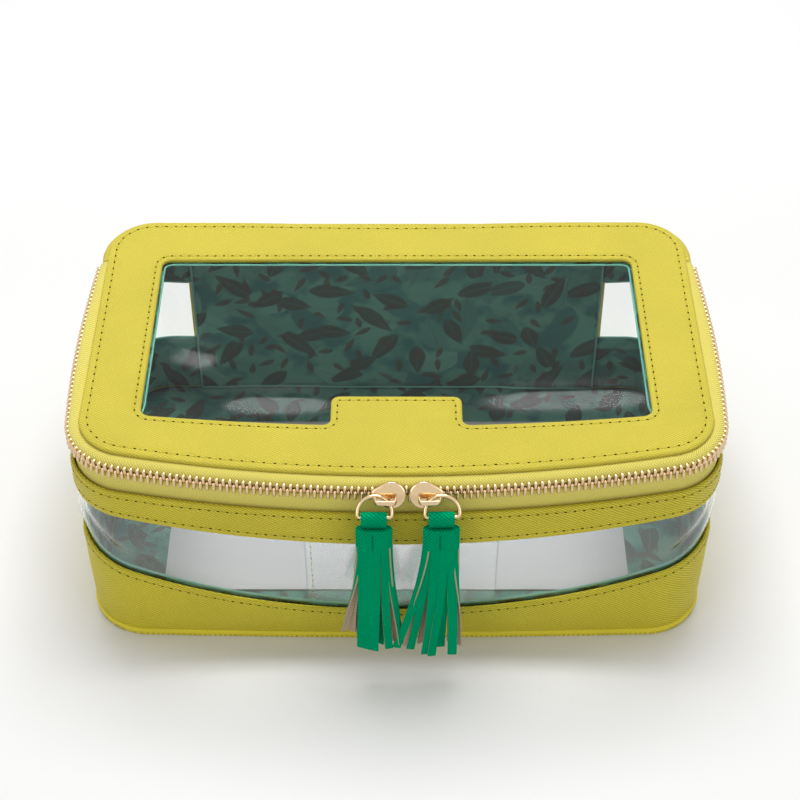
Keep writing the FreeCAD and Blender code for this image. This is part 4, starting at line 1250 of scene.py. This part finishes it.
class BuildLid(bpy.types.Operator):
    """The lid: turned-edge leather frame with its tab, stitch rows, clear window and lining."""

    bl_idname = "tile_bag.lid"
    bl_label = "Lid"

    def execute(self, context):
        outer = wall_path(lid_plan(), 0.0, 0.0, LID_STUB)[:-1]
        inner = window_loop()
        out, into = outward(outer, True), outward(inner, True)
        self.frame(outer, inner, out, into)
        self.stitches("lid_edge_stitches", outer - out * 3.4, pitch=4.4)
        self.stitches("lid_window_stitches", inner + into * 2.7, pitch=3.9)
        self.window()
        self.lining(inner, into)
        return {"FINISHED"}

    def stitches(self, name, plan, pitch):
        """Row of stitches round the lid's top along a closed line in plan."""
        top = 105.5
        line = raised(plan, top + lid_wave(plan[:, 0], plan[:, 1]))
        line = np.concatenate([line, line[:1]])
        sew(name, "lid", "leather", [(line, np.tile(UP, (len(line), 1)))], pitch, hole=(0.78, 0.42))

    def frame(self, outer, inner, out, into):
        """Leather ring: columns run from the outer edge over the top to the window and back below; both edges
        are rounded over, and the leather dips along the stitch rows."""
        edge = np.array([0.9, 0.15, 0.0, 0.12, 0.5, 1.1, 2.0, 2.8, 3.4, 4.0, 5.2])
        tall = np.array([103.7, 103.75, 104.4, 105.0, 105.45, 105.65, 105.65, 105.5, 105.35, 105.5, 105.7])
        lip = np.array([3.4, 3.1, 2.7, 2.1, 1.4, 0.6, 0.15, 0.0, 0.05])
        low = np.array([105.68, 105.5, 105.35, 105.5, 105.6, 105.5, 105.15, 104.6, 103.7])
        near = outer[:, None] - out[:, None] * edge[:, None]
        far = inner[:, None] + into[:, None] * lip[:, None]
        way = gather(inner, into)
        share = np.linspace(0, 1, 6)[1:, None]
        between = near[:, -1:] * (1 - share) + way[:, None] * share
        below = np.stack([way, 0.5 * (way + near[:, 0])], axis=1)
        plan = np.concatenate([near, between, far, below], axis=1)
        crown, under = 105.72, 103.7
        height = np.concatenate([tall, np.full(len(share), crown), low, np.full(2, under)])
        height = height + lid_wave(plan[..., 0], plan[..., 1])
        grid = raised(plan, height)
        hatch = plan.copy()
        outer_run = unrolled(edge[::-1], tall[::-1])[::-1]
        hatch[:, :len(edge)] = outer[:, None] - out[:, None] * outer_run[:, None]
        first = len(edge) + len(share)
        hatch[:, first:first + len(lip)] = inner[:, None] + into[:, None] * unrolled(lip, low)[:, None]
        uv = np.pad(hatch[:, ::-1], ((0, 1), (0, 1), (0, 0)), mode="wrap")
        ring = surface("lid_leather", grid[:, ::-1], uv, (True, True))
        dress(tidy(ring), "lid", "leather", "leather", "lid_frame")

    def window(self):
        """Clear window: a sheet that swells and dips a little between its sewn edges, with a few stronger
        swells near its front that catch the light."""
        half, front, back = 110, -63, 55
        sewn_half, sewn_back, level, wave, crown = 106, 52, 103.62, 0.45, 0.15
        x, y = np.meshgrid(np.linspace(-half, half, 200), np.linspace(front, back, 160), indexing="ij")
        deep = np.minimum(y - window_front(x), sewn_back - y)
        loose = np.clip((sewn_half - np.abs(x)) / 22, 0, 1) * np.clip(deep / 18, 0, 1)
        z = level + np.sin(0.5 * np.pi * loose) * (wave * ripple(x / 26, y / 20, seed=31) + crown)
        for place, reach, turn, rise in WINDOW_SWELLS:
            z += rise * swell(x, y, place, reach, turn)
        sheet = thicken(surface("lid_window_sheet", np.stack([x, y, z], axis=2)), 0.45)
        dress(sheet, "lid", "clear", "window", "lid_window")

    def lining(self, inner, into):
        """Lining ring under the lid: flat, from near the lid's edge to just inside the window, with a paler
        edge."""
        steps, top, foot, shows, tucked = 8, 102.95, 102.5, 1.5, 0.6
        outer = wall_path(lid_plan(), 8.0, 0.0, LID_STUB)[:-1]
        back = np.clip((inner[:, 1] - 20) / 10, 0, 1)
        side = np.clip((np.abs(inner[:, 0]) - 60) / 25, 0, 1) * np.clip((inner[:, 1] + 50) / 6, 0, 1)
        rim = inner - into * (shows * np.maximum(back, side) - tucked)[:, None]
        share = np.linspace(0, 1, steps)[:, None]
        flat = outer[:, None] * (1 - share) + gather(inner, into)[:, None] * share
        flat = np.concatenate([flat, rim[:, None]], axis=1)
        plan = np.concatenate([flat, flat[:, ::-1]], axis=1)
        grid = raised(plan, np.repeat([top, foot], steps + 1))
        uv = np.pad(plan[:, ::-1], ((0, 1), (0, 1), (0, 0)), mode="wrap")
        ring = surface("lid_lining_cloth", grid[:, ::-1], uv, (True, True))
        dress(tidy(ring), "lid", "lining", "lining", "lid_lining")
        ring = tube(raised(rim, 102.75), plan_direction(into), radius=0.42, turns=8, height=0.42)
        roll = tidy(surface("lid_lining_edge", ring, None, (True, True)))
        dress(roll, "lid", "lining", "lining_edge")


Pull = namedtuple("Pull", "name side turn base bar")


def pulls():
    """The two pulls: which side each lies on, the frame along and across the zip there, and its two
    centres."""
    found = []
    for name, side in (("left", -1), ("right", 1)):
        hub = np.array(JOINTS[name + "_slider_travel"]["pos_m"]) / MM
        across = np.array(JOINTS[name + "_tassel_swing"]["axis"])
        along = -across / np.linalg.norm(across)
        turn = np.stack([along, [-along[1], along[0], 0.0], UP])
        base = hub - (body_plan().radius - CHAIN_INSET) * turn[1]
        bar = np.array(JOINTS[name + "_tassel_swing"]["pos_m"]) / MM
        found.append(Pull(name, side, turn, base, bar))
    return found


def ribbon_section(half, thickness):
    """Cross-section of a flat strip, gone round once: points across its face, then back across its underside,
    with eased edges."""
    across = np.array([-1.0, -0.95, -0.7, -0.35, 0.0, 0.35, 0.7, 0.95, 1.0])
    lift = np.array([0.5, 1.0, 1.0, 1.0, 1.0, 1.0, 1.0, 1.0, 0.5])
    x = np.concatenate([across, across[::-1]])
    y = np.concatenate([lift, -lift]) * 0.5 * thickness
    return half[..., None] * x, np.broadcast_to(y, half.shape + (len(x),))


def ribbons(name, centre, face, side, half, thickness, front, back, bend=0.0, slant=0.0):
    """Leather strips: the flat cross-section carried along each strip's own line. centre, face and side have
    a row for each strip and each step; bend curls a strip about its length, slant lowers its right edge. The
    face gets one material, the back and the edges the other."""
    strips, steps = centre.shape[:2]
    wide, deep = ribbon_section(half, thickness)
    around = wide.shape[-1]
    deep = deep - np.broadcast_to(bend, half.shape)[..., None] * wide ** 2
    points = centre[:, :, None] + wide[..., None] * side[:, :, None] + deep[..., None] * face[:, :, None]
    points[..., 2] -= np.broadcast_to(slant, half.shape)[..., None] * wide
    quads = grid_faces(steps, around, (False, True))
    j = np.arange(around // 2 - 1)
    cap = np.stack([j, j + 1, around - 2 - j, around - 1 - j], axis=1)
    quads = np.concatenate([quads, cap[:, ::-1], cap + around * (steps - 1)])
    many = (quads[None] + (np.arange(strips) * steps * around)[:, None, None]).reshape(-1, 4)
    run = np.linalg.norm(np.diff(centre, axis=1), axis=2).cumsum(axis=1)
    run = np.pad(run, ((0, 0), (1, 0)))
    uv = uv_grid(wide + 17.0 * np.arange(strips)[:, None, None], run[..., None])
    obj = new_object(name, points.reshape(-1, 3), many, uv.reshape(-1, 2)[many.ravel()])
    obj.data.materials.append(FINISH[front])
    obj.data.materials.append(FINISH[back])
    column = np.concatenate([np.tile(np.arange(around), steps - 1), np.full(2 * len(j), around - 1)])
    index = np.tile((column > around // 2 - 2).astype(np.int32), strips)
    obj.data.polygons.foreach_set("material_index", index)
    sharpen(obj)
    return obj


def sharpen(obj):
    """Keep the folds between faces that meet steeply."""
    steep = 0.7
    obj.data.set_sharp_from_angle(angle=steep)


def plain_box(low, high):
    """Corners and faces of a plain box."""
    corners = np.array([[(low, high)[k >> axis & 1][axis] for axis in range(3)] for k in range(8)], float)
    faces = [[0, 2, 3, 1], [4, 5, 7, 6], [0, 1, 5, 4], [2, 6, 7, 3], [0, 4, 6, 2], [1, 3, 7, 5]]
    return corners, np.array(faces)


class BuildSliders(bpy.types.Operator):
    """The sliders' domed face plates, their bails and the rings that hang in them."""

    bl_idname = "tile_bag.sliders"
    bl_label = "Sliders and rings"

    def execute(self, context):
        for pull in pulls():
            self.plate(pull)
            self.bail(pull)
            self.ring(pull)
        return {"FINISHED"}

    def plate(self, pull):
        """Teardrop face: the hull of a large and a small circle, domed towards its middle and eased at its
        rim."""
        nose, tail, gap = 5.8, 3.4, 4.6
        low, high = node_box(pull.name + "_slider")
        reach = np.array([low[0], high[0]]) - pull.base[0]
        toward = -pull.side
        front = (reach[1] - nose) if toward > 0 else (reach[0] + nose)
        rear = front - toward * gap
        angle = circle(64)
        way = np.stack([np.cos(angle), np.sin(angle)], axis=1)
        large = way[:, 0] * (front - rear) + nose > tail
        edge = way * np.where(large, nose, tail)[:, None]
        edge[:, 0] += np.where(large, front, rear)
        middle = np.array([0.6 * front + 0.4 * rear, 0.0])
        share = np.array([0, 0.2, 0.4, 0.6, 0.75, 0.86, 0.93, 0.97, 1.0, 1.0, 0.97, 0.5, 0.0])
        depth = np.array([3.45, 3.43, 3.38, 3.3, 3.2, 3.1, 2.98, 2.85, 2.62, 1.9, 1.6, 1.6, 1.6])
        flat = middle + (edge - middle)[:, None] * share[:, None]
        lean, pivot = np.radians(20.0), 2.6
        deep = pivot - depth
        y = deep * np.cos(lean) + flat[..., 1] * np.sin(lean) - pivot
        z = flat[..., 1] * np.cos(lean) - deep * np.sin(lean) + 1.0
        face = np.stack([flat[..., 0], y, z], axis=2).reshape(-1, 3)
        points, faces = [face], [grid_faces(len(angle), len(share), (True, False))]
        post = (-0.8, -1.7, -0.7), (0.8, 1.7, 0.7)
        back_plate = (-5.6, 1.5, -5.6), (5.6, 2.6, 2.3)
        for ends in (post, back_plate):
            corners, quads = plain_box(*ends)
            faces.append(quads + sum(len(part) for part in points))
            points.append(corners)
        moved = np.concatenate(points) @ pull.turn + pull.base
        obj = tidy(new_object(pull.name + "_slider_face", moved, np.concatenate(faces)))
        sharpen(obj)
        dress(obj, pull.name + "_slider", "gold", "metal", pull.name + "_slider")

    def bail(self, pull):
        """Bridge on the face plate: a flat bar carried out, across and back in with round corners."""
        half, out, foot, corner = 4.1, 7.2, 2.2, 1.5
        bend = np.linspace(0, np.pi / 2, 7)
        x = np.concatenate([[-half, -half], corner - half - corner * np.cos(bend)])
        y = np.concatenate([[foot, out - corner - 0.4], out - corner + corner * np.sin(bend)])
        plan = np.stack([np.concatenate([x, -x[::-1]]), -np.concatenate([y, y[::-1]])], axis=1)
        line = raised(plan, 0.0)
        side = plan_direction(outward(plan))
        swell = 1 + 0.25 * np.cos(np.pi * line[:, 0] / (2 * half))
        round_x, round_z = squared(circle(16), 0.7)
        ring = 0.5 * round_x[:, None] * side[:, None]
        ring = ring + (1.15 * swell[:, None] * round_z)[..., None] * UP
        local = line[:, None] + ring + UP
        obj = surface(pull.name + "_bail_bridge", local @ pull.turn + pull.base, None, (False, True))
        obj = tidy(capped(obj, len(round_x)))
        dress(obj, pull.name + "_slider", "gold", "metal", pull.name + "_slider_bail")

    def ring(self, pull):
        """D-ring: a wire round a half circle, two short sides and a straight bar, in a plane that leans
        outwards."""
        radius, side, corner, wire, bar_count = 6.85, 0.5, 1.3, 0.8, 16
        path = np.concatenate([
            straight((corner - radius, -side - corner), (radius - corner, -side - corner), bar_count),
            arc((radius - corner, -side), corner, -np.pi / 2, 0, 8),
            straight((radius, -side), (radius, 0), 5),
            arc((0, 0), radius, 0, np.pi, 48),
            straight((-radius, 0), (-radius, -side), 5),
            arc((corner - radius, -side), corner, np.pi, 1.5 * np.pi, 8),
        ])
        normal = outward(path, True)
        angle = circle(14)
        flat = path[:, None] + wire * np.cos(angle)[:, None] * normal[:, None]
        tilt = np.radians(34.0)
        down = np.array([0.0, np.sin(tilt), np.cos(tilt)])
        through = np.array([0.0, -np.cos(tilt), np.sin(tilt)])
        bar = path[:bar_count].mean(axis=0)
        local = (flat[..., :1] - bar[0]) * np.array([1.0, 0.0, 0.0]) + (flat[..., 1:] - bar[1]) * down
        local = local + wire * np.sin(angle)[:, None] * through
        obj = tidy(surface(pull.name + "_ring_wire", local @ pull.turn + pull.bar, None, (True, True)))
        dress(obj, pull.name + "_ring", "gold", "metal", pull.name + "_pull_ring")


# Strips of each fringe: angle round the head from the front, width, length, sideways and forward shift of the
# tip, twist, slant of the cut end
LEFT_FRINGE = np.array([
    [-19, 9.6, 59.0, -0.6, -1.2, 3, 0.30], [40, 3.6, 59.5, 1.2, -0.8, 4, 0.1],
    [70, 3.3, 58.0, 4.6, -0.4, 14, 0.1], [-82, 2.9, 51.0, -6.0, 0.6, -92, 0.1],
    [-104, 3.0, 52.0, -3.2, 0.2, -70, 0.1], [102, 3.3, 59.0, 2.6, 0.2, 20, 0.0],
    [152, 3.6, 60.5, -0.8, -0.6, 170, 0.1], [128, 3.4, 60.0, 0.2, 0.4, 0, 0.0],
    [178, 3.4, 59.0, -0.4, 0.3, -10, 0.0], [206, 3.4, 58.5, -1.0, 0.4, 8, 0.0],
    [232, 3.4, 57.0, -1.4, 0.4, -20, 0.0],
])
RIGHT_FRINGE = np.array([
    [-66, 3.6, 59.5, -11.4, -0.8, 34, 0.25], [-42, 3.5, 62.0, -8.0, 1.0, 16, 0.2],
    [-20, 3.7, 62.5, -3.8, -1.0, 8, 0.05], [9, 3.7, 63.0, -3.9, -1.6, 3, 0.02],
    [27, 3.4, 61.0, -2.6, 1.6, -4, 0.0], [46, 4.2, 63.5, 0.6, -1.2, -14, 0.1],
    [84, 3.2, 60.0, 1.8, 0.2, 92, 0.1], [112, 3.3, 61.0, 1.0, 0.2, 20, 0.0],
    [140, 3.4, 60.0, 0.6, 0.3, 6, 0.0], [166, 3.4, 61.0, -0.8, 0.3, 0, 0.0],
    [192, 3.4, 60.0, -2.0, 0.3, -8, 0.0], [218, 3.4, 61.0, -3.6, 0.4, 10, 0.0],
    [242, 3.4, 60.0, -5.6, 0.3, 26, 0.0], [266, 3.3, 60.5, -7.6, 0.2, -80, 0.0],
])
# How far a tassel's head stands in front of the ring's bar
HEAD_AHEAD = 1.2


class BuildTassels(bpy.types.Operator):
    """The tassels: folded strap, rolled head with its raw edges, stitches and cut fringe."""

    bl_idname = "tile_bag.tassels"
    bl_label = "Tassels"

    def execute(self, context):
        for pull, fringe in zip(pulls(), (LEFT_FRINGE, RIGHT_FRINGE)):
            head_low, head_high = node_box(pull.name + "_tassel_head")
            self.top, self.foot = head_high[2] - pull.bar[2], head_low[2] - pull.bar[2]
            self.wide, self.deep = 0.5 * (head_high - head_low)[:2] * (1.0, 0.64)
            self.strap(pull)
            self.head(pull)
            self.fringe(pull, fringe)
        return {"FINISHED"}

    def place(self, pull, local):
        """Points of a pull's own frame in the bag's frame."""
        return local @ pull.turn + pull.bar

    def strap(self, pull):
        """Strap: one strip that climbs in front of the ring's bar, goes round it and comes down behind."""
        bar, half_width, leather = 1.65, 5.2, 1.1
        leg = np.linspace(self.top - 2.0, 0, 10)[:-1]
        pinch = np.clip((leg - self.top) / -self.top, 0, 1) ** 0.6
        half_turn = np.linspace(0, np.pi, 13)
        apart = bar * (0.45 + 0.55 * pinch)
        y = np.concatenate([-apart, -bar * np.cos(half_turn), apart[::-1]])
        z = np.concatenate([leg, bar * np.sin(half_turn), leg[::-1]])
        line = np.stack([np.zeros_like(y), y, z], axis=1)
        slope = unit(np.gradient(line, axis=0))
        face = np.stack([np.zeros_like(y), -slope[:, 2], slope[:, 1]], axis=1)
        across = np.tile([1.0, 0.0, 0.0], (len(y), 1))
        obj = ribbons(pull.name + "_strap_leather", self.place(pull, line)[None], (face @ pull.turn)[None],
                      (across @ pull.turn)[None], np.full((1, len(y)), half_width), leather, "tassel",
                      "tassel")
        dress(obj, pull.name + "_tassel", "tassel", "tassel", pull.name + "_tassel_strap")

    def head(self, pull):
        """Head: a strip rolled into a flat spiral of nearly two turns, standing on edge, its raw edge
        showing."""
        leather = size("strip_thickness")
        turn = np.linspace(0, 3.6 * np.pi, 160)
        angle = 0.3 * np.pi - turn
        lap, part = np.divmod(turn / (2 * np.pi), 1.0)
        inset = 0.5 * leather + 1.03 * leather * (lap + np.clip((part - 0.8) / 0.2, 0, 1))
        half_x, half_y = self.wide - inset, self.deep - inset
        middle = np.full_like(turn, 0.5 * (self.top + self.foot))
        line = np.stack([half_x * np.cos(angle), half_y * np.sin(angle) - HEAD_AHEAD, middle], axis=1)
        way = unit(np.stack([np.cos(angle) / half_x, np.sin(angle) / half_y, 0 * angle], axis=1))
        upright = np.tile(UP, (len(turn), 1))
        half = np.full((1, len(turn)), 0.5 * (self.top - self.foot))
        obj = ribbons(pull.name + "_rolled_head", self.place(pull, line)[None], (way @ pull.turn)[None],
                      (upright @ pull.turn)[None], half, leather, "tassel", "tassel")
        tidy(obj)
        dress(obj, pull.name + "_tassel", "tassel", "tassel", pull.name + "_tassel_head")
        run = np.linspace(self.top - 2.0, self.top - 10.0, 20)
        seam = np.stack(np.broadcast_arrays(-0.5, 0.02 - self.deep - HEAD_AHEAD, run), axis=1)
        normal = np.tile([0.0, -1.0, 0.0], (len(run), 1)) @ pull.turn
        rows = [(self.place(pull, seam), normal)]
        sew(pull.name + "_head_stitches", pull.name + "_tassel", "tassel", rows, 2.6, "tassel", lift=0.1,
            slant=0.25, hole=(0.5, 0.4))

    def fringe(self, pull, table):
        """Fringe: strips that hang out of the head, flush with it and curled like it, spreading, flattening
        and twisting on their way to the tip."""
        angle, width, length, tip_x, tip_y, twist, cut = table.T
        leather = size("strip_thickness")
        share = np.linspace(0, 1, 26)
        angle, twist = np.radians(angle), np.radians(twist)
        sunk = 0.5 * leather + 0.15 + 0.1 * (np.arange(len(angle)) % 2)
        half_x, half_y = self.wide - sunk, self.deep - sunk
        root = np.stack([half_x * np.sin(angle), -half_y * np.cos(angle) - HEAD_AHEAD, 0 * angle], axis=1)
        ease = share ** 1.5
        drop = self.foot + 2.0 - share * (length[:, None] + 2.0)
        shift = np.stack([tip_x[:, None] * ease, tip_y[:, None] * ease, drop], axis=2)
        centre = root[:, None] + shift
        centre[..., 0] += 0.4 * np.sin(share * 5.0 + np.arange(len(angle))[:, None] * 2.1) * share
        facing = np.arctan2(half_y * np.sin(angle), half_x * np.cos(angle))
        spin = facing[:, None] + twist[:, None] * np.clip(share * 1.35, 0, 1) ** 1.3
        face = np.stack([np.sin(spin), -np.cos(spin), 0 * spin], axis=2)
        side = np.stack([np.cos(spin), np.sin(spin), 0 * spin], axis=2)
        half = 0.5 * width[:, None] * (1 - 0.06 * share)
        radius = ((half_x * np.cos(angle)) ** 2 + (half_y * np.sin(angle)) ** 2) ** 1.5 / (half_x * half_y)
        bend = (1 - 0.75 * share) / (2 * radius[:, None])
        obj = ribbons(pull.name + "_fringe_strips", self.place(pull, centre), face @ pull.turn,
                      side @ pull.turn, half, leather, "tassel", "suede", bend, cut[:, None] * share ** 12)
        dress(obj, pull.name + "_tassel", "tassel", "tassel", pull.name + "_tassel_fringe")


class BuildStage(bpy.types.Operator):
    """Studio floor, soft lights, white surroundings and the camera."""

    bl_idname = "tile_bag.stage"
    bl_label = "Stage"

    def execute(self, context):
        scene = bpy.context.scene
        scene.view_settings.view_transform = "Standard"
        self.floor()
        self.world(scene)
        self.lamp("overhead_softbox", (0.0, 0.42, 1.5), (0, 0, 0.06), 21.5)
        self.lamp("left_fill", (-1.3, -1.1, 0.75), (0, 0, 0.05), 5.4)
        self.lamp("right_fill", (1.3, -1.1, 0.75), (0, 0, 0.05), 4.8)
        target = np.array([1.43, 4.36, 61.67]) * MM
        distance, tilt = 0.8269, np.radians(43.03)
        eye = bpy.data.cameras.new("camera")
        eye.lens = 83.2
        camera = bpy.data.objects.new("camera", eye)
        camera.location = target + distance * np.array([0.0, -np.cos(tilt), np.sin(tilt)])
        camera.rotation_euler = (np.pi / 2 - tilt, 0.0, 0.0)
        scene.collection.objects.link(camera)
        scene.camera = camera
        return {"FINISHED"}

    def floor(self):
        """Flat floor that keeps the bag's shadow, and from half a metre away fades into the white
        surroundings."""
        reach, face = 3000, colour("floor")
        run = np.linspace(-reach, reach, 9)
        x, y = np.meshgrid(run, run, indexing="ij")
        ground = surface("studio_floor", np.stack([x, y, 0 * x - 0.05], axis=2))
        material, wires, shader, _ = clouded("studio_floor", shade(0.985, face), face, 6.0, roughness=0.9,
                                             specular_ior_level=0.1)
        far = wires.step(wires.vector("LENGTH", wires.place("Object"), out="Value"), 0.5, 1.3)
        white = wires.add("ShaderNodeEmission", {"Color": (1, 1, 1, 1), "Strength": 1.0})
        both = wires.add("ShaderNodeMixShader", {0: wires.times(self.seen(wires), far),
                                                 1: shader.outputs[0], 2: white.outputs[0]})
        wires.feed(material.node_tree.nodes["Material Output"].inputs["Surface"], both.outputs[0])
        ground.data.materials.append(material)

    def seen(self, wires):
        """Mask of the rays that show the surroundings: the camera's, reflections and those through clear
        sheet."""
        rays = wires.add("ShaderNodeLightPath").outputs
        return wires.math("MAXIMUM", rays["Is Camera Ray"],
                          wires.math("MAXIMUM", rays["Is Glossy Ray"], rays["Is Transmission Ray"]))

    def world(self, scene):
        """Soft light from all round; camera, reflections and clear sheet see plain white."""
        world = bpy.data.worlds.new("studio_white")
        world.use_nodes = True
        scene.world = world
        wires = Wiring(world.node_tree)
        seen = self.seen(wires)
        soft = wires.add("ShaderNodeBackground", {"Color": (1, 1, 1, 1), "Strength": 0.33})
        white = wires.add("ShaderNodeBackground", {"Color": (1, 1, 1, 1), "Strength": 1.0})
        both = wires.add("ShaderNodeMixShader", {0: seen, 1: soft.outputs[0], 2: white.outputs[0]})
        wires.feed(world.node_tree.nodes["World Output"].inputs["Surface"], both.outputs[0])

    def lamp(self, name, place, aim, power):
        """Square soft light, a metre wide, at a place, turned to a point."""
        light = bpy.data.lights.new(name, "AREA")
        light.size = 1.0
        light.energy = power
        obj = bpy.data.objects.new(name, light)
        way = np.array(place) - np.array(aim)
        flat = np.hypot(way[0], way[1])
        obj.location = place
        obj.rotation_euler = (np.arctan2(flat, way[2]), 0.0, np.arctan2(way[0], -way[1]))
        bpy.context.scene.collection.objects.link(obj)


BUILDERS = (BuildFinishes, BuildBands, BuildClearWall, BuildLinings, BuildBase, BuildBack, BuildZip, BuildLid,
            BuildSliders, BuildTassels, BuildStage)


class BagPanel(bpy.types.Panel):
    """Sidebar panel with the sizes, the colours and a button for each group of pieces."""

    bl_idname = "VIEW3D_PT_tile_bag"
    bl_label = "Game tile bag"
    bl_space_type = "VIEW_3D"
    bl_region_type = "UI"
    bl_category = "Tile bag"

    def draw(self, context):
        """List the properties and the operators."""
        for group in (context.scene.bag_sizes, context.scene.bag_colours):
            box = self.layout.box()
            for key in group.__annotations__:
                box.prop(group, key)
        for builder in BUILDERS:
            self.layout.operator(builder.bl_idname)


def register():
    """Add the classes and the properties."""
    for part in (BagSizes, BagColours) + BUILDERS + (BagPanel,):
        bpy.utils.register_class(part)
    bpy.types.Scene.bag_sizes = bpy.props.PointerProperty(type=BagSizes)
    bpy.types.Scene.bag_colours = bpy.props.PointerProperty(type=BagColours)


def unregister():
    """Take the properties and the classes away again."""
    del bpy.types.Scene.bag_sizes
    del bpy.types.Scene.bag_colours
    for part in (BagPanel,) + BUILDERS[::-1] + (BagColours, BagSizes):
        bpy.utils.unregister_class(part)


def main():
    """Register and build every group of pieces in order."""
    register()
    for builder in BUILDERS:
        group, action = builder.bl_idname.split(".")
        getattr(getattr(bpy.ops, group), action)()


if __name__ == "__main__":
    main()
